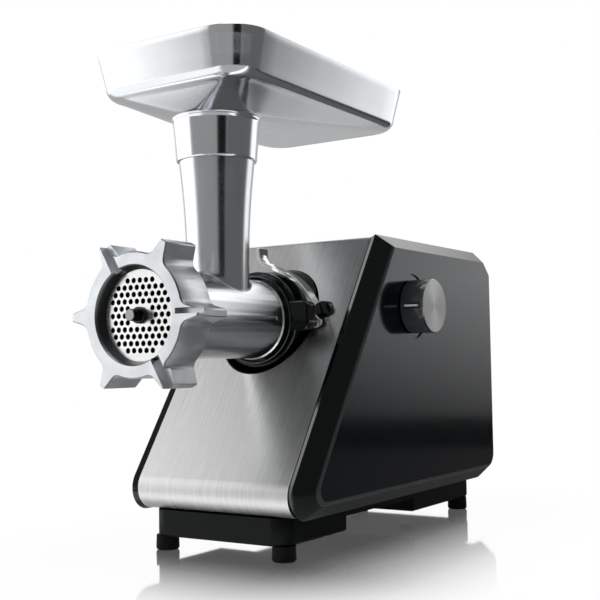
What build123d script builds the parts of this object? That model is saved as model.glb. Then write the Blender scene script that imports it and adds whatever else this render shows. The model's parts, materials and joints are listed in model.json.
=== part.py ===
from build123d import *

import math
import os

# Electric meat grinder with a cast head, a hopper tray and a geared motor in a sloping body.
# Millimetres. X is across the body, -Y is the front (the side the meat comes out of), +Z is up.
# The origin is on the table, straight below the feed tube, between the two front feet.

# ---------------------------------------------------------------- driving dimensions
AXIS_Z = 163.0  # height of the grinding axis, which runs along Y at x = 0

# hopper tray
RIM_Z = 346.0
TRAY_HALF_X = 68.5
TRAY_FRONT = -63.5
TRAY_REAR = 170.5
TRAY_CORNER_R = 27.0
TRAY_WALL_HEIGHT = 32.0
TRAY_DRAFT = 7.5
TRAY_EDGE_R = 9.0
TRAY_SHEET = 1.2
THROAT_Z = 302.4
SLEEVE_TOP_R = 30.7
SLEEVE_END_R = 28.2
SLEEVE_END_Z = 272.4

# grinder head
TUBE_TOP_R = 26.6
TUBE_END_R = 21.8
TUBE_TOP_Z = 300.0
FEED_BORE_R = 19.5
FEED_FUNNEL_Z = 282.0
FEED_RELIEF_Z = 200.0  # below this the bore is a little wider, so a plunger stops short of the auger
FEED_RELIEF = 0.5
BARREL_R = 28.0
BARREL_BORE_R = 24.5
HEAD_FRONT = -78.5
HEAD_REAR = 66.0
THREAD_R = 34.6
SPIGOT_R = 27.7
SHOULDER_Y = 41.0

# ring nut, plate, blade and auger
NUT_FRONT = -89.0
NUT_LENGTH = 29.0
NUT_R = 40.0
NUT_MOUTH_R = 31.5
NUT_LIP_R = 29.2
LUG_TIP_R = 52.2
LUGS = 6
PLATE_FRONT = -81.6
PLATE_THICKNESS = 4.9
PLATE_R = 31.0
HOLE_R = 1.75
HOLE_PITCH = 5.14
HOLE_FIELD_R = 25.7
HOLE_HUB_R = 8.5
STUD_R = 3.8
STUD_FRONT = -91.5
BUSH_R = 5.3
BUSH_FRONT = -84.4
BLADE_R = 26.0
AUGER_R = 23.6
FLIGHT_PITCH = 24.0

# body shell
PANEL_HALF_X = 63.8
RIDGE_X = 68.0
SIDE_X = 77.0
BODY_TOP_Z = 225.0
SLOPE_TOP_Y = 105.6
SLOPE_RUN = 0.6724  # how far the front slope goes back for each millimetre it rises
BODY_BOTTOM_Z = 29.0
BODY_REAR_Y = 300.0
PANEL_SHEET = 1.0
HOUSING_WALL = 3.0

# socket and lever
SOCKET_R = 39.0
SOCKET_NOSE_R = 35.2
SOCKET_FRONT = 45.0
LEVER_PIVOT = (43.8, -2.5)  # x and height above the grinding axis
LEVER_REST = (45.7, 6.5)
LEVER_FRONT = 53.0
LEVER_DEPTH = 11.0
EYE_DEPTH = 5.4
EYE_R = 4.9
PIVOT_R = 2.5

# gear train: (teeth of the big gear, teeth of its pinion, module) for each stage
GEAR_STAGES = {"output": (40, 12, 2.0), "second": (40, 12, 1.25), "first": (50, 12, 1.0)}
OUTPUT_XZ = (0.0, 0.0)  # positions are measured from the grinding axis
SECOND_OFFSET_X = 12.0
MOTOR_XZ = (0.0, -48.0)

# motor
SHAFT_R = 3.0
STATOR_FRONT = 168.0
STATOR_LENGTH = 44.0
STATOR_HALF = 38.0
ROTOR_R = 21.0
ARMATURE_SLOTS = 12
COMMUTATOR_FRONT = 226.0
COMMUTATOR_R = 11.0
REAR_BRACKET = 248.0
FAN_FRONT = 257.0
FAN_R = 33.0
MOTOR_END = 270.0

# knob on the right side
KNOB_Y = 146.5
KNOB_Z = 173.0
KNOB_R = 20.6
KNOB_FACE_X = 95.6
SWITCH_FACE_X = 60.5

# electrics
BOARD_Z = 40.0

# base
BASE_HALF_X = 57.0
BASE_FRONT = -6.0
BASE_REAR = 294.0
BASE_BOTTOM_Z = 10.4
BASE_TOP_Z = 29.0
FOOT_R = 8.3
POST_XY = ((-44.0, 24.0), (44.0, 24.0), (-44.0, 262.0), (44.0, 262.0))
FOOT_XY = ((-50.0, 3.0), (50.0, 3.0), (-50.0, 279.0), (50.0, 279.0))

os.makedirs("parts", exist_ok=True)


def across(y):
    """Section plane square to the grinding axis at y: local x is X, local y is height above the axis."""
    return Plane(origin=(0, y, AXIS_Z), x_dir=(1, 0, 0), z_dir=(0, -1, 0))


def slope_y(z):
    """Where the front slope's outer surface is at height z."""
    return SLOPE_TOP_Y - (BODY_TOP_Z - z) * SLOPE_RUN


# the plane that holds the grinding axis: local x is Y, local y is height above the axis
AXIS_PLANE = Plane(origin=(0, 0, AXIS_Z), x_dir=(0, 1, 0), z_dir=(1, 0, 0))
GRINDING_AXIS = Axis((0, 0, AXIS_Z), (0, 1, 0))


def bar(y_from, y_to, radius, x=0.0, z=0.0, mode=Mode.ADD):
    """Add a round bar along Y, centred x and z from the grinding axis."""
    with Locations(Plane(origin=(x, (y_from + y_to) / 2, AXIS_Z + z), z_dir=(0, 1, 0))):
        Cylinder(radius, y_to - y_from, mode=mode)


def bore(y_from, y_to, radius, x=0.0, z=0.0):
    """Cut a round hole along Y, centred x and z from the grinding axis."""
    bar(y_from, y_to, radius, x, z, mode=Mode.SUBTRACT)


# ================================================================ hopper tray
TRAY_MID_Y = (TRAY_FRONT + TRAY_REAR) / 2
TRAY_HALF_Y = (TRAY_REAR - TRAY_FRONT) / 2


def tray_levels(skin):
    """Height and inset of each level of the tray's outline, from the rim down round the bottom edge."""
    wall_end = RIM_Z - TRAY_WALL_HEIGHT + TRAY_EDGE_R
    slope = TRAY_DRAFT / TRAY_WALL_HEIGHT
    levels = [(RIM_Z + skin, skin), (wall_end, slope * (RIM_Z - wall_end) + skin)]
    radius = TRAY_EDGE_R - skin
    for step in range(1, 5):
        turn = math.radians(80) * step / 4
        down = radius * math.sin(turn)
        levels.append((wall_end - down, levels[1][1] + radius * (1 - math.cos(turn))))
    return levels


with BuildPart() as hopper_tray:
    for skin, mode in ((0.0, Mode.ADD), (TRAY_SHEET, Mode.SUBTRACT)):
        levels = tray_levels(skin)
        for pair in zip(levels, levels[1:]):
            for z, inset in pair:
                with BuildSketch(Plane.XY.offset(z)):
                    with Locations((0, TRAY_MID_Y)):
                        RectangleRounded(
                            2 * (TRAY_HALF_X - inset),
                            2 * (TRAY_HALF_Y - inset),
                            TRAY_CORNER_R - inset * 0.8,
                        )
            loft(ruled=True, mode=mode)
        z, inset = levels[-1]
        with BuildSketch(Plane.XY.offset(z)):
            with Locations((0, TRAY_MID_Y)):
                RectangleRounded(
                    2 * (TRAY_HALF_X - inset),
                    2 * (TRAY_HALF_Y - inset),
                    TRAY_CORNER_R - inset * 0.8,
                )
        throat_r = SLEEVE_TOP_R - 2.4 - skin
        with BuildSketch(Plane.XY.offset(THROAT_Z - 0.6 + skin)):
            RectangleRounded(2 * throat_r, 2 * throat_r, throat_r - 0.1)
        loft(ruled=True, mode=mode)
    with BuildSketch(Plane.XZ):
        with BuildLine():
            Polyline(
                (TUBE_TOP_R + 0.12, SLEEVE_END_Z),
                (SLEEVE_END_R, SLEEVE_END_Z),
                (SLEEVE_TOP_R, THROAT_Z - 2.5),
                (SLEEVE_TOP_R + 0.7, THROAT_Z - 2.0),
                (SLEEVE_TOP_R + 0.7, THROAT_Z),
                (SLEEVE_TOP_R - 3.4, THROAT_Z + 0.6),
                (TUBE_TOP_R - 2.5, THROAT_Z + 0.6),
                (TUBE_TOP_R - 2.5, TUBE_TOP_Z),
                (TUBE_TOP_R + 0.12, TUBE_TOP_Z),
                close=True,
            )
        make_face()
    revolve(axis=Axis.Z)
    with Locations((0, 0, THROAT_Z)):
        Cylinder(TUBE_TOP_R - 2.5, 40, mode=Mode.SUBTRACT)


# ================================================================ grinder head
TUBE_BLEND_Z = 195.0

with BuildPart() as grinder_head:
    with BuildSketch(AXIS_PLANE):
        with BuildLine():
            Polyline(
                (HEAD_FRONT, 0),
                (HEAD_FRONT, THREAD_R - 1),
                (HEAD_FRONT + 1, THREAD_R),
                (-63, THREAD_R),
                (-59.5, BARREL_R),
                (SHOULDER_Y - 2.4, BARREL_R),
                (SHOULDER_Y - 1.8, BARREL_R + 1.1),
                (SHOULDER_Y - 0.6, BARREL_R + 1.1),
                (SHOULDER_Y, SPIGOT_R),
                (HEAD_REAR, SPIGOT_R),
                (HEAD_REAR, 0),
                close=True,
            )
        make_face()
    revolve(axis=GRINDING_AXIS)
    with BuildSketch(Plane.XZ):
        with BuildLine():
            Line((0, AXIS_Z), (TUBE_END_R, AXIS_Z))
            Line((TUBE_END_R, AXIS_Z), (TUBE_END_R, TUBE_BLEND_Z))
            TangentArc((TUBE_END_R, TUBE_BLEND_Z), (TUBE_TOP_R, SLEEVE_END_Z), tangent=(0, 1))
            Line((TUBE_TOP_R, SLEEVE_END_Z), (TUBE_TOP_R, TUBE_TOP_Z))
            Line((TUBE_TOP_R, TUBE_TOP_Z), (0, TUBE_TOP_Z))
            Line((0, TUBE_TOP_Z), (0, AXIS_Z))
        make_face()
    revolve(axis=Axis.Z)
    blend = grinder_head.edges().filter_by(
        lambda e: AXIS_Z + 10 < e.center().Z < AXIS_Z + BARREL_R + 1 and abs(e.center().Y) < 12
    )
    fillet(blend, radius=6)
    bore(HEAD_FRONT, PLATE_FRONT + PLATE_THICKNESS, PLATE_R + 0.15)
    bore(PLATE_FRONT + PLATE_THICKNESS, -68, BLADE_R + 1.5)
    bore(-68, 40, BARREL_BORE_R)
    bore(40, HEAD_REAR, 8.0)
    with Locations((0, 0, (AXIS_Z + TUBE_TOP_Z) / 2)):
        Cylinder(FEED_BORE_R, TUBE_TOP_Z - AXIS_Z, mode=Mode.SUBTRACT)
    with Locations((0, 0, (AXIS_Z + FEED_RELIEF_Z) / 2)):
        Cylinder(FEED_BORE_R + FEED_RELIEF, FEED_RELIEF_Z - AXIS_Z, mode=Mode.SUBTRACT)
    with Locations((0, 0, (FEED_FUNNEL_Z + TUBE_TOP_Z) / 2)):
        Cone(FEED_BORE_R, TUBE_TOP_R - 2.6, TUBE_TOP_Z - FEED_FUNNEL_Z, mode=Mode.SUBTRACT)
    # plate key in the mouth, and the index pip beside the shoulder
    with Locations((0, HEAD_FRONT + 0.95, AXIS_Z - PLATE_R - 0.2)):
        Box(3, 1.7, 2.6)
    with Locations(Plane(origin=(BARREL_R, 32, AXIS_Z), z_dir=(1, 0, 0))):
        Cylinder(1.6, 1.2)

# ================================================================ ring nut
SLOT_DEPTH = 6.0
# slots across the front face for the tightening tool: (lug angle, offset to the side, width)
TOOL_SLOTS = ((0, 1.3, 3.6, 34.5, 60), (120, -2.0, 7.0, -60, 60))  # angle, offset, width, start and end

with BuildPart() as ring_nut:
    with BuildSketch(across(NUT_FRONT)) as nut_outline:
        Circle(NUT_R)
        with PolarLocations(0, LUGS):
            Polygon(
                (NUT_R - 4, -7.2), (LUG_TIP_R, -2.5), (LUG_TIP_R, 2.5), (NUT_R - 4, 7.2), align=None
            )
        roots = nut_outline.vertices().filter_by(lambda v: math.hypot(v.X, v.Y) < NUT_R + 0.5)
        fillet(roots, radius=6)
        tips = nut_outline.vertices().filter_by(lambda v: math.hypot(v.X, v.Y) > LUG_TIP_R - 0.5)
        fillet(tips, radius=1.2)
    extrude(amount=-NUT_LENGTH)
    chamfer(ring_nut.faces().sort_by(Axis.Y)[0].outer_wire().edges(), length=0.8)
    with BuildSketch(AXIS_PLANE):
        with BuildLine():
            Polyline(
                (NUT_FRONT - 1, 0),
                (NUT_FRONT - 1, NUT_MOUTH_R + 1.3),
                (NUT_FRONT + 1.2, NUT_MOUTH_R - 0.4),
                (PLATE_FRONT - 0.3, NUT_LIP_R),
                (PLATE_FRONT - 0.3, PLATE_R + 0.4),
                (HEAD_FRONT - 0.4, PLATE_R + 0.4),
                (HEAD_FRONT - 0.4, THREAD_R + 0.08),
                (NUT_FRONT + NUT_LENGTH - 1.5, THREAD_R + 0.08),
                (NUT_FRONT + NUT_LENGTH + 1, THREAD_R + 2.0),
                (NUT_FRONT + NUT_LENGTH + 1, 0),
                close=True,
            )
        make_face()
    revolve(axis=GRINDING_AXIS, mode=Mode.SUBTRACT)
    with BuildSketch(across(NUT_FRONT)):
        for angle, offset, width, start, end in TOOL_SLOTS:
            with Locations(Location((0, 0, 0), (0, 0, angle))):
                with Locations(((start + end) / 2, offset)):
                    Rectangle(end - start, width)
    extrude(amount=-SLOT_DEPTH, mode=Mode.SUBTRACT)

# ================================================================ hole plate
ROW_STEP = HOLE_PITCH * math.sqrt(3) / 2
plate_holes = []
for row in range(-5, 6):
    for column in range(-5, 6):
        spot = ((column + (0.5 if row % 2 == 0 else 0.0)) * HOLE_PITCH, row * ROW_STEP)
        if HOLE_HUB_R < math.hypot(*spot) < HOLE_FIELD_R:
            plate_holes.append(spot)

with BuildPart() as hole_plate:
    with BuildSketch(across(PLATE_FRONT)):
        Circle(PLATE_R)
        Circle(BUSH_R, mode=Mode.SUBTRACT)
        with Locations(*plate_holes):
            Circle(HOLE_R, mode=Mode.SUBTRACT)
        with Locations((0, -PLATE_R)):
            Rectangle(3.4, 3.6, mode=Mode.SUBTRACT)
    extrude(amount=-PLATE_THICKNESS)

with BuildPart() as plate_bush:
    bar(BUSH_FRONT, PLATE_FRONT + PLATE_THICKNESS, BUSH_R - 0.02)
    chamfer(plate_bush.faces().sort_by(Axis.Y)[0].edges(), length=0.5)
    bore(BUSH_FRONT - 1, PLATE_FRONT + PLATE_THICKNESS + 1, STUD_R + 0.06)

# ================================================================ cutter blade
BLADE_FRONT = PLATE_FRONT + PLATE_THICKNESS + 0.05
BLADE_THICKNESS = 6.0
SQUARE = 9.0

with BuildPart() as cutter_blade:
    with BuildSketch(across(BLADE_FRONT)):
        Circle(9.5)
        with PolarLocations(0, 4):
            Polygon((6, -5.5), (BLADE_R - 1, -1.5), (BLADE_R, 3.0), (6, 5.0), align=None)
        Rectangle(SQUARE + 0.1, SQUARE + 0.1, mode=Mode.SUBTRACT)
    extrude(amount=-BLADE_THICKNESS)

# ================================================================ auger
FLIGHT_START = -64.0
FLIGHT_END = 34.0
FLIGHT_MID_R = 15.0
FLIGHT_ROOT_R = 6.0  # the flight's section starts inside the core
HEX_FLATS = 13.0
HEX_END = 84.0

with BuildPart() as auger:
    with BuildSketch(AXIS_PLANE):
        with BuildLine():
            Polyline(
                (BLADE_FRONT + BLADE_THICKNESS, 0),
                (BLADE_FRONT + BLADE_THICKNESS, 7.5),
                (FLIGHT_END, 11.0),
                (38, 11.0),
                (38, 7.92),
                (HEAD_REAR, 7.92),
                (HEAD_REAR, 0),
                close=True,
            )
        make_face()
    revolve(axis=GRINDING_AXIS)
    bar(STUD_FRONT, BLADE_FRONT, STUD_R)
    chamfer(auger.faces().sort_by(Axis.Y)[0].edges(), length=0.4)
    with BuildSketch(across(BLADE_FRONT)):
        Rectangle(SQUARE, SQUARE)
    extrude(amount=-BLADE_THICKNESS)
    with BuildSketch(across(HEAD_REAR)):
        RegularPolygon(HEX_FLATS / 2, 6, major_radius=False)
    extrude(amount=-(HEX_END - HEAD_REAR))
    with BuildLine() as flight_path:
        Helix(
            pitch=FLIGHT_PITCH,
            height=FLIGHT_END - FLIGHT_START - 6,
            radius=FLIGHT_MID_R,
            center=(0, FLIGHT_START + 3, AXIS_Z),
            direction=(0, 1, 0),
        )
    flight_start = flight_path.wire() @ 0
    outwards = flight_start - Vector(0, FLIGHT_START + 3, AXIS_Z)
    with BuildSketch(Plane(origin=flight_start, x_dir=outwards, z_dir=flight_path.wire() % 0)):
        with Locations(((AUGER_R + FLIGHT_ROOT_R) / 2 - FLIGHT_MID_R, 0)):
            Rectangle(AUGER_R - FLIGHT_ROOT_R, 3.0)
    sweep(path=flight_path.wire(), is_frenet=True)


# ================================================================ body shell
ROOF_REAR_Y = 285.0  # the roof ends here and a chamfer runs down to the rear face
REAR_CHAMFER_Z = 211.0
SLOPE_GROW = math.hypot(1.0, SLOPE_RUN)  # a slope line moved out square by 1 moves this far in Y


def body_profile(grow, front_top_r=0.0):
    """The body's side outline as a face at x = 0, grown outwards all round."""
    top = BODY_TOP_Z + grow
    bottom = BODY_BOTTOM_Z - grow
    with BuildSketch(Plane.YZ) as profile:
        with BuildLine():
            Polyline(
                (slope_y(bottom) - grow * SLOPE_GROW, bottom),
                (slope_y(top) - grow * SLOPE_GROW, top),
                (ROOF_REAR_Y + grow * 0.4, top),
                (BODY_REAR_Y + grow, REAR_CHAMFER_Z + grow * 0.4),
                (BODY_REAR_Y + grow, bottom),
                close=True,
            )
        make_face()
        fillet(profile.vertices().sort_by(Axis.X)[0], radius=15.0 + grow)
        fillet(profile.vertices().group_by(Axis.Y)[0].sort_by(Axis.X)[-1], radius=18.0 + grow)
        if front_top_r:
            fillet(profile.vertices().group_by(Axis.Y)[-1].sort_by(Axis.X)[0], radius=front_top_r)
    return profile.sketch


def side_profile(shrink):
    """The flat side face's outline at x = 0, shrunk inwards all round."""
    top = BODY_TOP_Z - 8.0 - shrink
    bottom = BODY_BOTTOM_Z + 8.5 + shrink
    setback = 18.6 + shrink * SLOPE_GROW
    with BuildSketch(Plane.YZ) as profile:
        with BuildLine():
            Polyline(
                (slope_y(bottom) + setback, bottom),
                (slope_y(top) + setback, top),
                (ROOF_REAR_Y + 2 - shrink, top),
                (BODY_REAR_Y - 0.5 - shrink, REAR_CHAMFER_Z - 5 - shrink),
                (BODY_REAR_Y - 0.5 - shrink, bottom),
                close=True,
            )
        make_face()
        fillet(profile.vertices().sort_by(Axis.X)[0], radius=8.0 - shrink)
        fillet(profile.vertices().group_by(Axis.Y)[0].sort_by(Axis.X)[-1], radius=12.0 - shrink)
    return profile.sketch


def body_slab(grow, half_x, front_top_r=0.0):
    """Add the body's outline as a solid from -half_x to half_x."""
    return extrude(body_profile(grow, front_top_r), amount=half_x, both=True, mode=Mode.PRIVATE)


# brushed metal sheet over the roof, the front slope and the curled front edge
PANEL_REAR_Y = ROOF_REAR_Y - 0.5
PANEL_TUCK_Y = 11.0

with BuildPart() as front_panel:
    add(body_slab(0.0, PANEL_HALF_X, 5.0))
    add(body_slab(-PANEL_SHEET, PANEL_HALF_X + 1, 4.0), mode=Mode.SUBTRACT)
    with Locations((0, PANEL_REAR_Y + 50, 150)):
        Box(200, 100, 300, mode=Mode.SUBTRACT)
    with Locations((0, PANEL_TUCK_Y + 250, 30)):
        Box(200, 500, 40, mode=Mode.SUBTRACT)
    bore(-40, 120, SOCKET_R + 0.5)
    bore(50, 90, PIVOT_R, *LEVER_PIVOT)

# moulded housing inside the metal sheet: closed sides, open rear and bottom
HOUSING_GROW = -PANEL_SHEET - 0.2
HOUSING_HALF_X = PANEL_HALF_X + 0.2
HOUSING_REAR_Y = 295.5

with BuildPart() as main_housing:
    add(body_slab(HOUSING_GROW, HOUSING_HALF_X, 3.8))
    add(body_slab(HOUSING_GROW - HOUSING_WALL, HOUSING_HALF_X - HOUSING_WALL), mode=Mode.SUBTRACT)
    with Locations((0, HOUSING_REAR_Y + 50, 150)):
        Box(200, 100, 300, mode=Mode.SUBTRACT)
    with Locations((0, PANEL_REAR_Y + 50, BODY_TOP_Z)):
        Box(200, 100, 60, mode=Mode.SUBTRACT)
    with Locations((0, 143, 30)):
        Box(72, 200, 10, mode=Mode.SUBTRACT)
    with Locations(*[(x, y, 30) for x, y in POST_XY]):
        Cylinder(1.45, 12, mode=Mode.SUBTRACT)
    bore(-40, 120, SOCKET_R + 0.1)
    bore(50, 90, PIVOT_R, *LEVER_PIVOT)
    with Locations((HOUSING_HALF_X, KNOB_Y, KNOB_Z)):
        Cylinder(4.0, 20, rotation=(0, 90, 0), mode=Mode.SUBTRACT)

# right side: a glossy cover and, in front of and below it, a black trim
COVER_WALL = 2.5
TRIM_SHIFT = Location((0, 2.0, 1.6))
side_sections = (
    (HOUSING_HALF_X + 0.05, body_profile(-0.3)),
    (RIDGE_X, body_profile(1.4)),
    (SIDE_X, side_profile(0.0)),
)
cavity_sections = (
    (HOUSING_HALF_X, body_profile(-HOUSING_WALL - 1.2)),
    (RIDGE_X, body_profile(-2.4)),
    (SIDE_X - COVER_WALL, side_profile(COVER_WALL - 0.5)),
)

with BuildPart() as side_outer:
    for inner, outer in zip(side_sections, side_sections[1:]):
        loft([s.moved(Location((x, 0, 0))) for x, s in (inner, outer)], ruled=True)

with BuildPart() as side_shell:
    add(side_outer.part)
    for inner, outer in zip(cavity_sections, cavity_sections[1:]):
        loft([s.moved(Location((x, 0, 0))) for x, s in (inner, outer)], ruled=True, mode=Mode.SUBTRACT)

with BuildPart() as right_trim:
    add(side_shell.part)
    add(side_outer.part.moved(TRIM_SHIFT), mode=Mode.SUBTRACT)

with BuildPart() as plain_cover:
    add(side_shell.part)
    add(side_outer.part.moved(TRIM_SHIFT), mode=Mode.INTERSECT)

DISH_R = 25.4
DISH_DEPTH = 1.2
with BuildPart() as right_cover:
    add(plain_cover.part)
    with Locations((SIDE_X - DISH_DEPTH / 2, KNOB_Y, KNOB_Z)):
        Cylinder(DISH_R, DISH_DEPTH + 0.001, rotation=(0, 90, 0), mode=Mode.SUBTRACT)
        Cylinder(4.0, 20, rotation=(0, 90, 0), mode=Mode.SUBTRACT)

with BuildPart() as left_trim:
    mirror(right_trim.part, about=Plane.YZ)

with BuildPart() as left_cover:
    mirror(plain_cover.part, about=Plane.YZ)


# rear cover: chamfered corner and rear face with two rows of cooling slots and the cord gland's hole
GLAND_XZ = (-34.0, 62.0)
GLAND_R = 3.75
SLOT_WIDTH = 34.0

with BuildPart() as rear_cover:
    add(body_slab(0.0, PANEL_HALF_X))
    add(body_slab(-HOUSING_WALL, PANEL_HALF_X + 1), mode=Mode.SUBTRACT)
    with Locations((0, PANEL_REAR_Y - 200 + 0.3, 150)):
        Box(200, 400, 300, mode=Mode.SUBTRACT)
    with Locations((0, 200, BODY_BOTTOM_Z)):
        Box(200, 2 * (HOUSING_REAR_Y + 0.4 - 200), 60, mode=Mode.SUBTRACT)
    with Locations((0, BODY_REAR_Y, 165)):
        with GridLocations(SLOT_WIDTH + 8, 1, 2, 1):
            for level in range(8):
                with Locations((0, 0, -7.0 * level)):
                    Box(SLOT_WIDTH, 12, 3.2, mode=Mode.SUBTRACT)
    bore(BODY_REAR_Y - 8, BODY_REAR_Y + 2, 8.0, GLAND_XZ[0], GLAND_XZ[1] - AXIS_Z)

with BuildPart() as cord_gland:
    bar(BODY_REAR_Y - 10, BODY_REAR_Y + 2.5, 7.9, GLAND_XZ[0], GLAND_XZ[1] - AXIS_Z)
    bar(BODY_REAR_Y + 0.05, BODY_REAR_Y + 3, 10.0, GLAND_XZ[0], GLAND_XZ[1] - AXIS_Z)
    with Locations(Plane(origin=(GLAND_XZ[0], BODY_REAR_Y + 8, GLAND_XZ[1]), z_dir=(0, 1, 0))):
        Cone(7.6, 5.6, 10)
    bore(BODY_REAR_Y - 11, BODY_REAR_Y + 14, GLAND_R, GLAND_XZ[0], GLAND_XZ[1] - AXIS_Z)

# ================================================================ base
ARCH_FRONT = 73.0
ARCH_REAR = 180.0
ARCH_TOP = 21.0
BASE_WALL = 3.0
BASE_MID_Y = (BASE_FRONT + BASE_REAR) / 2
BASE_LENGTH = BASE_REAR - BASE_FRONT
BREAKER_XY = (26.0, 226.0)
BUTTON_R = 5.0

with BuildPart() as base_tray:
    with BuildSketch(Plane.XY.offset(BASE_BOTTOM_Z)):
        with Locations((0, BASE_MID_Y)):
            RectangleRounded(2 * BASE_HALF_X, BASE_LENGTH, 12)
    extrude(amount=BASE_TOP_Z - 0.1 - BASE_BOTTOM_Z)
    chamfer(base_tray.faces().sort_by(Axis.Z)[0].outer_wire().edges(), length=1.2)
    with Locations((0, (ARCH_FRONT + ARCH_REAR) / 2, ARCH_TOP - 10)):
        Box(200, ARCH_REAR - ARCH_FRONT, 20, mode=Mode.SUBTRACT)
    with BuildSketch(Plane.XY.offset(ARCH_TOP + BASE_WALL)):
        with Locations((0, BASE_MID_Y)):
            RectangleRounded(2 * (BASE_HALF_X - BASE_WALL), BASE_LENGTH - 2 * BASE_WALL, 9)
    extrude(amount=20, mode=Mode.SUBTRACT)
    for block_front, block_rear in ((BASE_FRONT, ARCH_FRONT), (ARCH_REAR, BASE_REAR)):
        with BuildSketch(Plane.XY.offset(BASE_BOTTOM_Z + BASE_WALL)):
            with Locations((0, (block_front + block_rear) / 2)):
                RectangleRounded(
                    2 * (BASE_HALF_X - BASE_WALL), block_rear - block_front - 2 * BASE_WALL, 9
                )
        extrude(amount=30, mode=Mode.SUBTRACT)
    with Locations(*[(x, y, (BASE_BOTTOM_Z + 30.2) / 2) for x, y in POST_XY]):
        Cylinder(6.0, 30.2 - BASE_BOTTOM_Z)
    with Locations(*[(x, y, BASE_BOTTOM_Z + 6) for x, y in FOOT_XY]):
        Cylinder(5.0, 12.0)
    with Locations(*[(x, y, 20) for x, y in POST_XY]):
        Cylinder(1.6, 60, mode=Mode.SUBTRACT)
    with Locations(*[(x, y, BASE_BOTTOM_Z + 5) for x, y in POST_XY]):
        Cylinder(3.6, 10.1, mode=Mode.SUBTRACT)
    with Locations(*[(x, y, BASE_BOTTOM_Z + 6) for x, y in FOOT_XY]):
        Cylinder(1.5, 13, mode=Mode.SUBTRACT)
    with Locations((*BREAKER_XY, BASE_BOTTOM_Z)):
        Cylinder(BUTTON_R + 0.4, 20, mode=Mode.SUBTRACT)

with BuildPart() as rubber_feet:
    with BuildSketch(Plane.XZ) as foot_section:
        with BuildLine():
            Polyline(
                (0, 0),
                (FOOT_R - 1.0, 0),
                (FOOT_R - 0.2, 0.8),
                (FOOT_R, 2.0),
                (FOOT_R - 0.3, BASE_BOTTOM_Z),
                (0, BASE_BOTTOM_Z),
                close=True,
            )
        make_face()
    with Locations(*[(x, y, 0) for x, y in FOOT_XY]):
        add(revolve(foot_section.sketch, axis=Axis.Z, mode=Mode.PRIVATE))
    with Locations(*[(x, y, 3.0) for x, y in FOOT_XY]):
        Cylinder(3.6, 6.2, mode=Mode.SUBTRACT)
    with Locations(*[(x, y, 6) for x, y in FOOT_XY]):
        Cylinder(1.7, 14, mode=Mode.SUBTRACT)


with BuildPart() as case_screw:
    Cylinder(3.2, 2.1, align=(Align.CENTER, Align.CENTER, Align.MIN))
    Cylinder(1.45, 16.5, align=(Align.CENTER, Align.CENTER, Align.MIN))
    Box(4.2, 0.8, 2.4, mode=Mode.SUBTRACT)
    Box(0.8, 4.2, 2.4, mode=Mode.SUBTRACT)

with BuildPart() as foot_screws:
    with Locations(*[(x, y, 4.0) for x, y in FOOT_XY]):
        add(case_screw.part)

with BuildPart() as base_screws:
    with Locations(*[(x, y, BASE_BOTTOM_Z + 7.9) for x, y in POST_XY]):
        add(case_screw.part)

# ================================================================ socket, ring and lever
SOCKET_REAR = 102.0
SOCKET_MOUTH_R = 32.3
ARM_FRONT = 42.0
ARM_END_X = 46.2
ARM_LEVELS = (-9.0, 12.2)  # lower and upper side, above the grinding axis

with BuildPart() as head_socket:
    with BuildSketch(AXIS_PLANE):
        with BuildLine():
            Polyline(
                (SOCKET_FRONT, SOCKET_MOUTH_R),
                (SOCKET_FRONT, SOCKET_NOSE_R - 0.8),
                (SOCKET_FRONT + 0.8, SOCKET_NOSE_R),
                (SOCKET_FRONT + 21.0, SOCKET_NOSE_R + 1.1),
                (SOCKET_FRONT + 39.0, SOCKET_R),
                (SOCKET_REAR, SOCKET_R),
                (SOCKET_REAR, SOCKET_R - 3.0),
                (HEAD_REAR + 4.5, SOCKET_R - 3.0),
                (HEAD_REAR + 4.5, 12.0),
                (HEAD_REAR + 0.5, 12.0),
                (HEAD_REAR + 0.5, SPIGOT_R + 0.08),
                (SOCKET_FRONT + 6.0, SPIGOT_R + 0.08),
                (SOCKET_FRONT + 6.0, SOCKET_MOUTH_R),
                close=True,
            )
        make_face()
    revolve(axis=GRINDING_AXIS)
    # the arm that holds the front end of the lever's pivot
    with BuildSketch(across(ARM_FRONT)) as arm_outline:
        with Locations(((ARM_END_X + 20.0) / 2, sum(ARM_LEVELS) / 2)):
            Rectangle(ARM_END_X - 20.0, ARM_LEVELS[1] - ARM_LEVELS[0])
        fillet(arm_outline.vertices().group_by(Axis.X)[-1], radius=4.0)
        Circle(SOCKET_MOUTH_R, mode=Mode.SUBTRACT)
    extrude(amount=-(LEVER_FRONT - 0.4 - ARM_FRONT))
    chamfer(head_socket.faces().sort_by(Axis.Y)[0].outer_wire().edges(), length=0.8)
    bore(ARM_FRONT + 3.0, LEVER_FRONT + 20, PIVOT_R, *LEVER_PIVOT)

with BuildPart() as socket_ring:
    with BuildSketch(AXIS_PLANE):
        with Locations(((SHOULDER_Y + 1.0 + SOCKET_FRONT + 6.0) / 2, SOCKET_MOUTH_R - 0.75)):
            RectangleRounded(SOCKET_FRONT + 5.0 - SHOULDER_Y, 1.5, 0.7)
    revolve(axis=GRINDING_AXIS)

BAND_THICKNESS = 2.6

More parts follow.
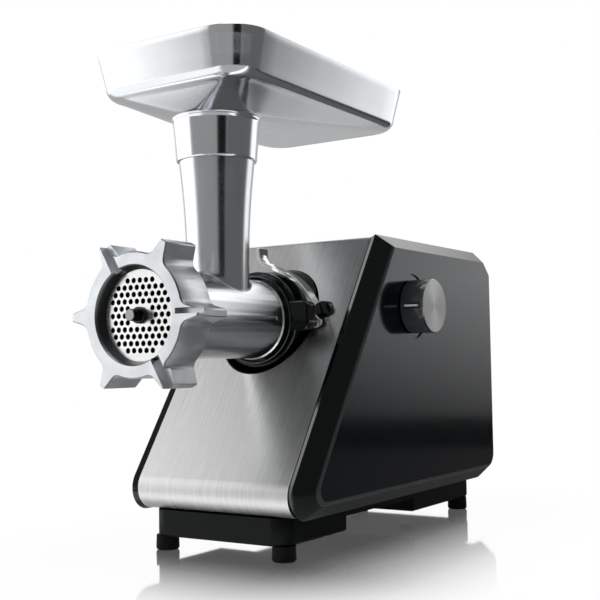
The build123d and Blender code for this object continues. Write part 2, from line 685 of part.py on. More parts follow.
with BuildPart() as lock_lever:
    with BuildSketch(across(LEVER_FRONT)):
        with BuildLine():
            band = ThreePointArc((44.4, 0.5), (37.6, 18.4), (20.0, 33.0))
            flat = Line(band @ 1, (2.6, 41.1))
            bend = TangentArc(flat @ 1, (-2.9, 49.7), tangent=flat % 1)
            Line(bend @ 1, (-2.9, 53.6))
        trace(line_width=BAND_THICKNESS)
    extrude(amount=-LEVER_DEPTH)
    bore(LEVER_FRONT + EYE_DEPTH, LEVER_FRONT + LEVER_DEPTH, EYE_R + 0.9, *LEVER_PIVOT)
    bar(LEVER_FRONT, LEVER_FRONT + EYE_DEPTH, EYE_R, *LEVER_PIVOT)
    bore(LEVER_FRONT, LEVER_FRONT + LEVER_DEPTH, PIVOT_R + 0.06, *LEVER_PIVOT)

with BuildPart() as lever_pivot:
    bar(ARM_FRONT + 3.0, 72.0, PIVOT_R, *LEVER_PIVOT)

with BuildPart() as lever_boss:
    bar(LEVER_FRONT + EYE_DEPTH + 0.4, 84.0, EYE_R, *LEVER_PIVOT)
    bar(LEVER_FRONT + LEVER_DEPTH + 0.4, 84.0, 6.2, *LEVER_REST)
    bore(LEVER_FRONT, 100, PIVOT_R, *LEVER_PIVOT)
    add(body_slab(0.0, 200.0), mode=Mode.SUBTRACT)

# ================================================================ gearbox
CASE_FRONT = 102.0
CASE_REAR = 153.0
PLATE_WALL = 3.0
CASE_HALF_X = 46.5
CASE_TOP = 46.6  # above the grinding axis
CASE_BOTTOM = -110.5


def meshing_point(a, b, from_a, from_b):
    """The lower of the two points at these distances from a and from b."""
    apart = math.dist(a, b)
    along = (apart**2 + from_a**2 - from_b**2) / (2 * apart)
    aside = math.sqrt(from_a**2 - along**2)
    ux, uz = (b[0] - a[0]) / apart, (b[1] - a[1]) / apart
    spots = [(a[0] + ux * along + s * uz * aside, a[1] + uz * along - s * ux * aside) for s in (-1, 1)]
    return min(spots, key=lambda spot: spot[1])


def centre_distance(stage):
    """How far apart the two gears of a stage stand."""
    big, small, module = GEAR_STAGES[stage]
    return (big + small) * module / 2


SECOND_XZ = (
    SECOND_OFFSET_X,
    -math.sqrt(centre_distance("output") ** 2 - SECOND_OFFSET_X**2),
)
FIRST_XZ = meshing_point(SECOND_XZ, MOTOR_XZ, centre_distance("second"), centre_distance("first"))
PLANES = {"output": (108.0, 122.0), "second": (126.0, 134.0), "first": (138.0, 145.0)}
AXLE_R = 3.0
OUTPUT_SHAFT_R = 9.0
BEARING_R = 15.0
CASE_MID_Z = (CASE_TOP + CASE_BOTTOM) / 2
CASE_HEIGHT = CASE_TOP - CASE_BOTTOM
CASE_SCREW_XZ = ((-36.5, 36.5), (36.5, 36.5), (-36.5, -100.4), (36.5, -100.4))
CASE_SCREW_R = 1.5

with BuildPart() as gearbox_front:
    with BuildSketch(across(CASE_FRONT)):
        with Locations((0, CASE_MID_Z)):
            RectangleRounded(2 * CASE_HALF_X, CASE_HEIGHT, 24)
    extrude(amount=-PLATE_WALL)
    bore(CASE_FRONT - 1, CASE_FRONT + 5, BEARING_R)
    for spot in (SECOND_XZ, FIRST_XZ):
        bore(CASE_FRONT - 1, CASE_FRONT + 5, AXLE_R, *spot)
    for spot in CASE_SCREW_XZ:
        bore(CASE_FRONT - 1, CASE_FRONT + 5, CASE_SCREW_R + 0.2, *spot)

with BuildPart() as gearbox_case:
    with BuildSketch(across(CASE_FRONT + PLATE_WALL)):
        with Locations((0, CASE_MID_Z)):
            RectangleRounded(2 * CASE_HALF_X, CASE_HEIGHT, 24)
    extrude(amount=-(CASE_REAR - CASE_FRONT - PLATE_WALL))
    with BuildSketch(across(CASE_FRONT + PLATE_WALL)):
        with Locations((0, CASE_MID_Z)):
            RectangleRounded(2 * (CASE_HALF_X - PLATE_WALL), CASE_HEIGHT - 2 * PLATE_WALL, 21)
    extrude(amount=-(CASE_REAR - CASE_FRONT - PLATE_WALL - 4.0), mode=Mode.SUBTRACT)
    bore(CASE_REAR - 5, CASE_REAR + 1, BEARING_R)
    bore(CASE_REAR - 5, CASE_REAR + 1, 9.0, *MOTOR_XZ)
    for spot in (SECOND_XZ, FIRST_XZ):
        bore(CASE_REAR - 5, CASE_REAR + 1, AXLE_R, *spot)
    for spot in CASE_SCREW_XZ:
        bar(CASE_FRONT + PLATE_WALL, CASE_REAR - 2, 4.0, *spot)
        bore(CASE_FRONT + PLATE_WALL - 1, CASE_FRONT + 17, CASE_SCREW_R, *spot)

with BuildPart() as gearbox_screws:
    for spot in CASE_SCREW_XZ:
        bar(CASE_FRONT - 2.0, CASE_FRONT, 3.0, *spot)
        bar(CASE_FRONT - 1.0, CASE_FRONT + 16, CASE_SCREW_R, *spot)
        with Locations((spot[0], CASE_FRONT - 2.0, AXIS_Z + spot[1])):
            Box(4.0, 1.6, 0.8, mode=Mode.SUBTRACT)
            Box(0.8, 1.6, 4.0, mode=Mode.SUBTRACT)


def involute(angle):
    """The involute function, for an angle in radians."""
    return math.tan(angle) - angle


PRESSURE_ANGLE = math.radians(20)
BACKLASH = 0.16  # share of a module taken off each tooth's width
ADDENDUM = 0.85
DEDENDUM = 1.2


def gear_face(teeth, module, y, centre, towards, gap=False):
    """A spur gear's outline at y. A tooth, or a gap between two teeth, points towards another centre."""
    pitch_r = teeth * module / 2
    base_r = pitch_r * math.cos(PRESSURE_ANGLE)
    tip_r = pitch_r + ADDENDUM * module
    root_r = pitch_r - DEDENDUM * module
    half_pitch_angle = (math.pi / 2 - BACKLASH) / teeth + involute(PRESSURE_ANGLE)
    heading = math.atan2(towards[1] - centre[1], towards[0] - centre[0])
    first = heading + (math.pi / teeth if gap else 0.0)
    step = 2 * math.pi / teeth

    def half_width(radius):
        """Half of the tooth's angle at this radius."""
        return half_pitch_angle - involute(math.acos(min(1.0, base_r / max(radius, base_r))))

    def spot(radius, angle):
        """A point of the outline."""
        return (radius * math.cos(angle), radius * math.sin(angle))

    flank_radii = [max(root_r, base_r) * 0.5 + root_r * 0.5, (pitch_r + base_r) / 2 + 0.1, tip_r]
    with BuildSketch(across(y)) as outline:
        with BuildLine():
            for tooth in range(teeth):
                middle = first + tooth * step
                left = [spot(r, middle - half_width(r)) for r in flank_radii]
                right = [spot(r, middle + half_width(r)) for r in reversed(flank_radii)]
                following = spot(flank_radii[0], middle + step - half_width(flank_radii[0]))
                ThreePointArc(*left)
                Line(left[-1], right[0])
                ThreePointArc(*right)
                ThreePointArc(right[-1], spot(root_r, middle + step / 2), following)
        make_face()
    return outline.sketch.moved(Location((centre[0], 0, centre[1])))


def wheel(teeth, module, y_range, centre, towards, web_recess):
    """Add a big gear with recessed sides round its hub; a gap points towards its pinion."""
    y_from, y_to = y_range
    extrude(gear_face(teeth, module, y_from, centre, towards, gap=True), amount=y_from - y_to)
    for recess_from in (y_from, y_to - web_recess):
        bore(recess_from, recess_from + web_recess, (teeth / 2 - DEDENDUM - 2.5) * module, *centre)
    bar(y_from, y_to, teeth * module * 0.15, *centre)


def pinion(teeth, module, y_range, centre, towards):
    """Add a small gear; a tooth points towards the big gear."""
    y_from, y_to = y_range
    extrude(gear_face(teeth, module, y_from, centre, towards), amount=y_from - y_to)


OUTPUT_TEETH, OUTPUT_PINION_TEETH, OUTPUT_MODULE = GEAR_STAGES["output"]
SECOND_TEETH, SECOND_PINION_TEETH, SECOND_MODULE = GEAR_STAGES["second"]
FIRST_TEETH, MOTOR_PINION_TEETH, FIRST_MODULE = GEAR_STAGES["first"]
AXLE_BORE = AXLE_R + 0.05

with BuildPart() as output_gear:
    wheel(OUTPUT_TEETH, OUTPUT_MODULE, PLANES["output"], OUTPUT_XZ, SECOND_XZ, web_recess=4.0)
    bore(CASE_FRONT, CASE_REAR, OUTPUT_SHAFT_R)

with BuildPart() as output_shaft:
    bar(HEAD_REAR + 5.0, CASE_REAR - 0.5, OUTPUT_SHAFT_R)
    bar(HEAD_REAR + 5.0, HEX_END + 4.0, 11.4)
    with BuildSketch(across(HEAD_REAR + 4.0)):
        RegularPolygon(HEX_FLATS / 2 + 0.1, 6, major_radius=False)
    extrude(amount=-(HEX_END + 1.0 - HEAD_REAR - 4.0), mode=Mode.SUBTRACT)

with BuildPart() as output_bearings:
    for y_from in (CASE_FRONT - 2.5, CASE_REAR - 6.5):
        bar(y_from, y_from + 6.0, BEARING_R - 0.02)
    bore(CASE_FRONT - 3, CASE_REAR, OUTPUT_SHAFT_R + 0.05)

with BuildPart() as second_gear:
    wheel(SECOND_TEETH, SECOND_MODULE, PLANES["second"], SECOND_XZ, FIRST_XZ, web_recess=2.0)
    pinion(OUTPUT_PINION_TEETH, OUTPUT_MODULE, (107.0, 126.0), SECOND_XZ, OUTPUT_XZ)
    bore(CASE_FRONT, CASE_REAR, AXLE_BORE, *SECOND_XZ)

with BuildPart() as first_gear:
    wheel(FIRST_TEETH, FIRST_MODULE, PLANES["first"], FIRST_XZ, MOTOR_XZ, web_recess=1.5)
    pinion(SECOND_PINION_TEETH, SECOND_MODULE, (125.0, 138.0), FIRST_XZ, SECOND_XZ)
    bore(CASE_FRONT, CASE_REAR, AXLE_BORE, *FIRST_XZ)

with BuildPart() as gear_axles:
    for spot in (SECOND_XZ, FIRST_XZ):
        bar(CASE_FRONT, CASE_REAR - 0.2, AXLE_R, *spot)

with BuildPart() as motor_pinion:
    pinion(MOTOR_PINION_TEETH, FIRST_MODULE, (137.0, 146.0), MOTOR_XZ, FIRST_XZ)
    bore(CASE_FRONT, CASE_REAR, SHAFT_R, *MOTOR_XZ)

# ================================================================ motor
with BuildPart() as motor_stator:
    with BuildSketch(across(STATOR_FRONT)):
        with Locations(MOTOR_XZ):
            RectangleRounded(2 * STATOR_HALF, 2 * STATOR_HALF, 14)
            Circle(ROTOR_R + 0.6, mode=Mode.SUBTRACT)
            for side in (-1, 1):
                with Locations((0, side * 26.0)):
                    Rectangle(30, 9, mode=Mode.SUBTRACT)
                with Locations((side * 31.0, side * 31.0), (side * 31.0, -side * 31.0)):
                    Circle(2.0, mode=Mode.SUBTRACT)
    extrude(amount=-STATOR_LENGTH)

with BuildPart() as field_coils:
    for side in (-1, 1):
        with BuildSketch(across(STATOR_FRONT - 5)):
            with Locations((MOTOR_XZ[0], MOTOR_XZ[1] + side * 26.0)):
                Rectangle(29, 8)
        extrude(amount=-(STATOR_LENGTH + 10))

with BuildPart() as motor_armature:
    with BuildSketch(across(STATOR_FRONT)):
        with Locations(MOTOR_XZ):
            Circle(ROTOR_R)
            with PolarLocations(ROTOR_R, ARMATURE_SLOTS):
                Rectangle(6.0, 2.2, mode=Mode.SUBTRACT)
            Circle(SHAFT_R, mode=Mode.SUBTRACT)
    extrude(amount=-STATOR_LENGTH)

with BuildPart() as armature_windings:
    for y_from in (STATOR_FRONT - 8, STATOR_FRONT + STATOR_LENGTH):
        bar(y_from, y_from + 8, ROTOR_R - 4.5, *MOTOR_XZ)
    bore(STATOR_FRONT - 9, STATOR_FRONT + STATOR_LENGTH + 9, SHAFT_R, *MOTOR_XZ)

with BuildPart() as commutator:
    bar(COMMUTATOR_FRONT, COMMUTATOR_FRONT + 16, COMMUTATOR_R, *MOTOR_XZ)
    with BuildSketch(across(COMMUTATOR_FRONT)):
        with Locations(MOTOR_XZ):
            with PolarLocations(COMMUTATOR_R, 2 * ARMATURE_SLOTS):
                Rectangle(1.2, 0.6)
    extrude(amount=-16, mode=Mode.SUBTRACT)
    bore(COMMUTATOR_FRONT - 1, COMMUTATOR_FRONT + 17, SHAFT_R, *MOTOR_XZ)

with BuildPart() as motor_shaft:
    bar(137.0, MOTOR_END, SHAFT_R, *MOTOR_XZ)

with BuildPart() as cooling_fan:
    bar(FAN_FRONT, FAN_FRONT + 1.5, FAN_R, *MOTOR_XZ)
    bar(FAN_FRONT, FAN_FRONT + 12, 7.0, *MOTOR_XZ)
    with BuildSketch(across(FAN_FRONT)):
        with Locations(MOTOR_XZ):
            with PolarLocations(0, 9):
                with Locations((21, 4)):
                    Rectangle(FAN_R - 9, 1.4, rotation=18)
    extrude(amount=-11)
    bore(FAN_FRONT - 1, FAN_FRONT + 13, SHAFT_R, *MOTOR_XZ)

with BuildPart() as motor_bearings:
    bar(CASE_REAR - 4.0, CASE_REAR + 1.0, 9.0, *MOTOR_XZ)
    bar(REAR_BRACKET, REAR_BRACKET + 5.0, 9.0, *MOTOR_XZ)
    bore(CASE_REAR - 5, REAR_BRACKET + 6.0, SHAFT_R + 0.05, *MOTOR_XZ)

with BuildPart() as rear_bracket:
    with BuildSketch(across(REAR_BRACKET)):
        with Locations(MOTOR_XZ):
            RectangleRounded(2 * STATOR_HALF, 24, 6)
            RectangleRounded(24, 2 * STATOR_HALF, 6)
            Circle(9.0, mode=Mode.SUBTRACT)
    extrude(amount=-5)
    with BuildSketch(across(STATOR_FRONT + STATOR_LENGTH)):
        with Locations(MOTOR_XZ):
            for side in (-1, 1):
                with Locations((side * (STATOR_HALF - 3), 0)):
                    Rectangle(6, 20)
    extrude(amount=-(REAR_BRACKET - STATOR_FRONT - STATOR_LENGTH))
    with Locations((MOTOR_XZ[0], COMMUTATOR_FRONT + 8, AXIS_Z + MOTOR_XZ[1])):
        Box(2 * STATOR_HALF + 20, 10.2, 10.2, mode=Mode.SUBTRACT)

with BuildPart() as carbon_brushes:
    for side in (-1, 1):
        with Locations((side * (COMMUTATOR_R + 9.4), COMMUTATOR_FRONT + 8, AXIS_Z + MOTOR_XZ[1])):
            Box(18, 6, 6)

with BuildPart() as brush_holders:
    for side in (-1, 1):
        with Locations((side * (COMMUTATOR_R + 15), COMMUTATOR_FRONT + 8, AXIS_Z + MOTOR_XZ[1])):
            Box(24, 10, 10)
            Box(26, 6.1, 6.1, mode=Mode.SUBTRACT)

with BuildPart() as motor_bolts:
    for x in (-31.0, 31.0):
        for z in (-31.0, 31.0):
            bar(CASE_REAR, STATOR_FRONT + STATOR_LENGTH + 4, 2.0, x + MOTOR_XZ[0], z + MOTOR_XZ[1])
            bar(
                STATOR_FRONT + STATOR_LENGTH, STATOR_FRONT + STATOR_LENGTH + 3.5, 3.8,
                x + MOTOR_XZ[0], z + MOTOR_XZ[1],
            )

with BuildPart() as motor_spacers:
    for x in (-31.0, 31.0):
        for z in (-31.0, 31.0):
            bar(CASE_REAR, STATOR_FRONT, 5.0, x + MOTOR_XZ[0], z + MOTOR_XZ[1])
            bore(CASE_REAR - 1, STATOR_FRONT + 1, 2.0, x + MOTOR_XZ[0], z + MOTOR_XZ[1])

# ================================================================ controls
KNOB_BASE_X = SIDE_X - DISH_DEPTH + 0.5
KNOB_SHAFT_X = SWITCH_FACE_X - 8.5  # the shaft ends here, inside the switch
KNOB_SHAFT_R = 3.0
KNOB_PLACE = Plane(origin=(KNOB_BASE_X, KNOB_Y, KNOB_Z), x_dir=(0, 1, 0), z_dir=(1, 0, 0))
KNOB_HEIGHT = KNOB_FACE_X - KNOB_BASE_X
CAP_THICKNESS = 1.4

with BuildPart() as knob:
    with BuildSketch(KNOB_PLACE):
        Circle(KNOB_R)
    extrude(amount=KNOB_HEIGHT - CAP_THICKNESS)
    chamfer(knob.faces().sort_by(Axis.X)[0].outer_wire().edges(), length=0.6)
    with Locations((KNOB_FACE_X - 10, KNOB_Y - KNOB_R, KNOB_Z)):
        Box(13, 2.8, 4.6, mode=Mode.SUBTRACT)
    with BuildSketch(KNOB_PLACE):
        Circle(KNOB_SHAFT_R)
    extrude(amount=-(KNOB_BASE_X - KNOB_SHAFT_X))

with BuildPart() as knob_cap:
    with BuildSketch(KNOB_PLACE.offset(KNOB_HEIGHT - CAP_THICKNESS)):
        Circle(KNOB_R)
    extrude(amount=CAP_THICKNESS)
    chamfer(knob_cap.faces().sort_by(Axis.X)[-1].outer_wire().edges(), length=0.5)

with BuildPart() as knob_pointer:
    with Locations((KNOB_FACE_X - 10, KNOB_Y - KNOB_R + 0.7, KNOB_Z)):
        Box(11, 1.4, 1.5)

with BuildPart() as rotary_switch:
    with Locations((SWITCH_FACE_X - 6, KNOB_Y, KNOB_Z)):
        Box(12, 28, 28)
    with Locations((SWITCH_FACE_X - 6, KNOB_Y, KNOB_Z)):
        Cylinder(KNOB_SHAFT_R + 0.08, 20, rotation=(0, 90, 0), mode=Mode.SUBTRACT)

with BuildPart() as breaker_button:
    with Locations((*BREAKER_XY, 8.6)):
        Cylinder(BUTTON_R, 8.0, align=(Align.CENTER, Align.CENTER, Align.MIN))
    with Locations((*BREAKER_XY, 14.2)):
        Cylinder(BUTTON_R + 1.6, 1.6, align=(Align.CENTER, Align.CENTER, Align.MIN))

with BuildPart() as breaker_body:
    with Locations((*BREAKER_XY, 19.2)):
        Box(24, 18, 10, align=(Align.CENTER, Align.CENTER, Align.MIN))
    with Locations((*BREAKER_XY, 19.0)):
        Cylinder(BUTTON_R + 0.4, 3.0, mode=Mode.SUBTRACT)
    with Locations((BREAKER_XY[0], BREAKER_XY[1] - 11, 13.4), (BREAKER_XY[0], BREAKER_XY[1] + 11, 13.4)):
        Box(24, 4, 15.8, align=(Align.CENTER, Align.CENTER, Align.MIN))

with BuildPart() as control_board:
    with Locations((0, 250, BOARD_Z)):
        Box(70, 60, 1.6)

with BuildPart() as board_capacitor:
    with Locations((-18, 250, BOARD_Z + 0.8)):
        Box(26, 12, 16, align=(Align.CENTER, Align.CENTER, Align.MIN))

# ================================================================ write the pieces
pieces = {
    "hopper_tray": hopper_tray,
    "grinder_head": grinder_head,
    "ring_nut": ring_nut,
    "hole_plate": hole_plate,
    "plate_bush": plate_bush,
    "cutter_blade": cutter_blade,
    "auger": auger,
    "head_socket": head_socket,
    "socket_ring": socket_ring,
    "lock_lever": lock_lever,
    "lever_pivot": lever_pivot,
    "lever_boss": lever_boss,
    "front_panel": front_panel,
    "main_housing": main_housing,
    "right_trim": right_trim,
    "right_cover": right_cover,
    "left_trim": left_trim,
    "left_cover": left_cover,
    "rear_cover": rear_cover,
    "cord_gland": cord_gland,
    "base_tray": base_tray,
    "rubber_feet": rubber_feet,
    "foot_screws": foot_screws,
    "base_screws": base_screws,
    "knob": knob,
    "knob_cap": knob_cap,
    "knob_pointer": knob_pointer,
    "rotary_switch": rotary_switch,
    "breaker_button": breaker_button,
    "breaker_body": breaker_body,
    "control_board": control_board,
    "board_capacitor": board_capacitor,
    "gearbox_front": gearbox_front,
    "gearbox_case": gearbox_case,
    "gearbox_screws": gearbox_screws,
    "output_gear": output_gear,
    "output_shaft": output_shaft,
    "output_bearings": output_bearings,
    "second_gear": second_gear,
    "first_gear": first_gear,
    "gear_axles": gear_axles,
    "motor_pinion": motor_pinion,
    "motor_stator": motor_stator,
    "field_coils": field_coils,
    "motor_armature": motor_armature,
    "armature_windings": armature_windings,
    "commutator": commutator,
    "motor_shaft": motor_shaft,
    "cooling_fan": cooling_fan,
    "motor_bearings": motor_bearings,
    "rear_bracket": rear_bracket,
    "carbon_brushes": carbon_brushes,
    "brush_holders": brush_holders,
    "motor_bolts": motor_bolts,
    "motor_spacers": motor_spacers,
}
for name, piece in pieces.items():
    piece.part.label = name
    export_step(piece.part, f"parts/{name}.step")
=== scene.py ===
"""Looks for the electric meat grinder: camera, studio, materials and the smooth hopper tray.

Metres. X is across the body, -Y is the front, +Z is up, and the origin is on the table under the feed tube.
"""

import json
import math

import bpy
from mathutils import Matrix, Vector


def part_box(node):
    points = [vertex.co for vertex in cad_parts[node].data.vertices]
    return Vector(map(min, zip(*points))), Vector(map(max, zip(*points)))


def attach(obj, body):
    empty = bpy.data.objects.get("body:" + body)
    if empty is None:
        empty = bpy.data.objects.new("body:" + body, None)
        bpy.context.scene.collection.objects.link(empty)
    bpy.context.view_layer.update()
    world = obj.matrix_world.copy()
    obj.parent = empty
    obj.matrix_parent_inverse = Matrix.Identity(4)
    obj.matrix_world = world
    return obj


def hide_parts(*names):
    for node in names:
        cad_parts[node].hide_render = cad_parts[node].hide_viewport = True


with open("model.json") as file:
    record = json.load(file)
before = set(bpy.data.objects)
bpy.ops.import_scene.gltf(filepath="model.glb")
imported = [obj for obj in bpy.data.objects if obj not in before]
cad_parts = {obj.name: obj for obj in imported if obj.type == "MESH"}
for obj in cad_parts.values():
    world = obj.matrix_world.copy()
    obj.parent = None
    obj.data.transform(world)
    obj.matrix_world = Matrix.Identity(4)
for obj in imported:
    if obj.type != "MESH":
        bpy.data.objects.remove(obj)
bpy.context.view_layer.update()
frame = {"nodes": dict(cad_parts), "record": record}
MM = 0.001

# ---------------------------------------------------------------- camera
CAMERA_PLACE = Vector((0.44182, -0.58065, 0.13328))
CAMERA_YAW = math.radians(32.80)
CAMERA_PITCH = math.radians(3.28)
CAMERA_ROLL = math.radians(-0.91)
CAMERA_LENS = 62.73


def make_camera():
    """The photograph's viewpoint: low, a little right of the front, looking slightly up."""
    data = bpy.data.cameras.new("camera")
    data.lens = CAMERA_LENS
    data.clip_start, data.clip_end = 0.01, 50.0
    camera = bpy.data.objects.new("camera", data)
    bpy.context.scene.collection.objects.link(camera)
    level = math.cos(CAMERA_PITCH)
    ahead = Vector((-math.sin(CAMERA_YAW) * level, math.cos(CAMERA_YAW) * level, math.sin(CAMERA_PITCH)))
    side = Vector((math.cos(CAMERA_YAW), math.sin(CAMERA_YAW), 0.0))
    above = side.cross(ahead)
    right = side * math.cos(CAMERA_ROLL) + above * math.sin(CAMERA_ROLL)
    up = above * math.cos(CAMERA_ROLL) - side * math.sin(CAMERA_ROLL)
    turn = Matrix((right, up, -ahead)).transposed()
    camera.matrix_world = Matrix.Translation(CAMERA_PLACE) @ turn.to_4x4()
    bpy.context.scene.camera = camera


# ---------------------------------------------------------------- node helpers
def feed(tree, socket, value):
    """Set a socket to a number or colour, or link another socket to it."""
    if isinstance(value, bpy.types.NodeSocket):
        tree.links.new(value, socket)
    else:
        socket.default_value = value


def calc(tree, operation, *values):
    """A Math node's result."""
    node = tree.nodes.new("ShaderNodeMath")
    node.operation = operation
    for socket, value in zip(node.inputs, values):
        feed(tree, socket, value)
    return node.outputs[0]


def smooth_step(tree, value, low, high):
    """0 below low, 1 above high and a smooth ramp between; with low above high the ramp falls."""
    node = tree.nodes.new("ShaderNodeMapRange")
    node.interpolation_type = "SMOOTHSTEP"
    rising = low < high
    feed(tree, node.inputs["Value"], value)
    node.inputs["From Min"].default_value = low if rising else high
    node.inputs["From Max"].default_value = high if rising else low
    node.inputs["To Min"].default_value = 0.0 if rising else 1.0
    node.inputs["To Max"].default_value = 1.0 if rising else 0.0
    return node.outputs[0]


def mix_number(tree, share, a, b):
    """a where share is 0 and b where it is 1."""
    node = tree.nodes.new("ShaderNodeMix")
    node.data_type = "FLOAT"
    for socket, value in zip(node.inputs[:1] + node.inputs[2:4], (share, a, b)):
        feed(tree, socket, value)
    return node.outputs[0]


def mix_colour(tree, share, a, b):
    """Colour a where share is 0 and colour b where it is 1."""
    node = tree.nodes.new("ShaderNodeMix")
    node.data_type = "RGBA"
    for socket, value in zip(node.inputs[:1] + node.inputs[6:8], (share, a, b)):
        feed(tree, socket, value)
    return node.outputs[2]


def mix_shader(tree, share, a, b):
    """Shader a where share is 0 and shader b where it is 1."""
    node = tree.nodes.new("ShaderNodeMixShader")
    for socket, value in zip(node.inputs, (share, a, b)):
        feed(tree, socket, value)
    return node.outputs[0]


def axes(tree, kind="Object"):
    """The X, Y and Z of one of the texture coordinates."""
    place = tree.nodes.new("ShaderNodeTexCoord")
    split = tree.nodes.new("ShaderNodeSeparateXYZ")
    tree.links.new(place.outputs[kind], split.inputs[0])
    return split.outputs


def length(tree, a, b):
    """The length of the two sides' diagonal."""
    return calc(tree, "SQRT", calc(tree, "ADD", calc(tree, "MULTIPLY", a, a), calc(tree, "MULTIPLY", b, b)))


def grey(level, blue=0.0):
    """A near-neutral colour with an alpha."""
    return (level * (1 - blue), level, level * (1 + blue), 1.0)


# ---------------------------------------------------------------- studio
# Soft boxes and dark cards as windows on the sky: name, azimuth (0 is the front, 90 the knob's side), half
# width, elevation, half height, brightness, the softness of the upright edges and, where it differs, of the
# level ones. All angles are in degrees. Later ones cover earlier ones.
SKY_BASE = 0.46
SKY_BOXES = (
    ("left box", -72, 34, 8, 48, 1.45, 7),
    ("front card", 3, 38, 0, 60, 0.29, 8),
    ("flag", 51.5, 12.5, -5, 62, 0.006, 2.5),
    ("right card", 104, 39, 0, 60, 0.12, 4),
    ("right box", 162, 14, -5, 28, 1.20, 8),
    ("back strip", 177, 24, 30, 6, 1.6, 4),
    ("top card", -70, 45, 56, 18, 0.09, 8),
    ("top left box", -100, 56, 30, 14, 1.8, 36, 14),
    ("overhead box", 0, 180, 90, 14, 3.2, 3),
)
WALL_WHITE = 1.0
SHEETS_CROSSED = 1.5  # a ray that bounced off the table has crossed its clear sheet twice


def make_sky():
    """A white wall for the camera, and a studio of soft boxes for everything else."""
    world = bpy.data.worlds.new("studio")
    bpy.context.scene.world = world
    world.use_nodes = True
    tree = world.node_tree
    tree.nodes.clear()
    x, y, z = axes(tree, "Generated")
    azimuth = calc(tree, "DEGREES", calc(tree, "ARCTAN2", x, calc(tree, "MULTIPLY", y, -1.0)))
    elevation = calc(tree, "DEGREES", calc(tree, "ARCSINE", z))
    level = SKY_BASE
    for _, middle, half_width, height, half_height, brightness, *softness in SKY_BOXES:
        upright, level_edge = softness[0], softness[-1]
        turned = calc(tree, "WRAP", calc(tree, "SUBTRACT", azimuth, middle), 180.0, -180.0)
        apart = calc(tree, "ABSOLUTE", turned)
        off = calc(tree, "ABSOLUTE", calc(tree, "SUBTRACT", elevation, height))
        inside = calc(
            tree,
            "MULTIPLY",
            smooth_step(tree, apart, half_width + upright / 2, half_width - upright / 2),
            smooth_step(tree, off, half_height + level_edge, half_height - level_edge),
        )
        level = mix_number(tree, inside, level, brightness)
    rays = tree.nodes.new("ShaderNodeLightPath")
    off_table = calc(tree, "GREATER_THAN", rays.outputs["Transparent Depth"], SHEETS_CROSSED)
    on_wall = calc(tree, "MAXIMUM", rays.outputs["Is Camera Ray"], off_table)
    seen = mix_number(tree, on_wall, level, WALL_WHITE)
    background = tree.nodes.new("ShaderNodeBackground")
    background.inputs["Color"].default_value = grey(1.0)
    tree.links.new(seen, background.inputs["Strength"])
    output = tree.nodes.new("ShaderNodeOutputWorld")
    tree.links.new(background.outputs[0], output.inputs[0])


FLOOR_R = 1.6
FLOOR_SEGMENTS = 96
FLOOR_DEPTH = 0.3 * MM  # below the feet, so that nothing shares its plane
SHEET_DEPTH = 0.1 * MM
FLOOR_MIRROR = 0.92  # how much of the table is mirror right beside the machine
FLOOR_FADE = 0.165  # how far from the machine that has faded to nothing
MIRROR_ROUGHNESS = 0.06
# How bright the table looks in the machine's own reflections, a painted glow, with the ramps in metres from
# the base's
# middle: painted shade beside the knob's side, a painted light strip in front of the panel's lower edge,
# white again far out to the left, and painted dark again where one part mirrors it in another.
FLOOR_IN_METAL = 0.42
DARK_SIDE, DARK_SIDE_X, DARK_SIDE_Y = 0.10, (-0.02, 0.03), (-0.20, -0.05)
STRIP, STRIP_FAR_Y, STRIP_NEAR_Y = 1.5, (-0.27, -0.23), (-0.158, -0.180)
FAR_LEFT, FAR_X, FAR_Y, FAR_DISTANCE = 1.1, (0.05, -0.10), (0.05, -0.15), (0.16, 0.30)
MIRRORED_TWICE, SECOND_MIRROR = 0.10, 1.5  # the brightness, and the glossy depth past which it holds
CARD_HEIGHT = 0.25
CARD_ENDS = ((0.20, 0.95), (0.95, 0.55))
CARD_SHARE = 0.95  # how much of what is behind it the card hides at its foot; none at its top edge
CARD_GLOW = 0.02


def stage_piece(name, corners, faces, place=(0.0, 0.0, 0.0)):
    """An object with a new material, which the caller fills and stages."""
    mesh = bpy.data.meshes.new(name)
    mesh.from_pydata(corners, [], faces)
    piece = bpy.data.objects.new(name, mesh)
    piece.location = place
    bpy.context.scene.collection.objects.link(piece)
    material = bpy.data.materials.new(name)
    material.use_nodes = True
    mesh.materials.append(material)
    return piece, material.node_tree


def transparent(tree):
    return tree.nodes.new("ShaderNodeBsdfTransparent").outputs[0]


def glow(tree, strength):
    """Plain white light of one strength."""
    node = tree.nodes.new("ShaderNodeEmission")
    feed(tree, node.inputs["Strength"], strength)
    return node.outputs[0]


def finish_with(tree, shader):
    tree.links.new(shader, tree.nodes["Material Output"].inputs[0])


def mirrored_level(tree, x, y, distance, glossy_depth):
    """How bright the table looks in the machine's own reflections: a painted glow with painted shade and a
    painted light strip.
    """
    dark = calc(tree, "MULTIPLY", smooth_step(tree, x, *DARK_SIDE_X), smooth_step(tree, y, *DARK_SIDE_Y))
    strip = calc(tree, "MULTIPLY", smooth_step(tree, y, *STRIP_FAR_Y), smooth_step(tree, y, *STRIP_NEAR_Y))
    left_front = calc(tree, "MULTIPLY", smooth_step(tree, x, *FAR_X), smooth_step(tree, y, *FAR_Y))
    far = calc(tree, "MULTIPLY", smooth_step(tree, distance, *FAR_DISTANCE), left_front)
    again = calc(tree, "GREATER_THAN", glossy_depth, SECOND_MIRROR)
    level = FLOOR_IN_METAL
    for mask, value in ((dark, DARK_SIDE), (strip, STRIP), (far, FAR_LEFT), (again, MIRRORED_TWICE)):
        level = mix_number(tree, mask, level, value)
    return level


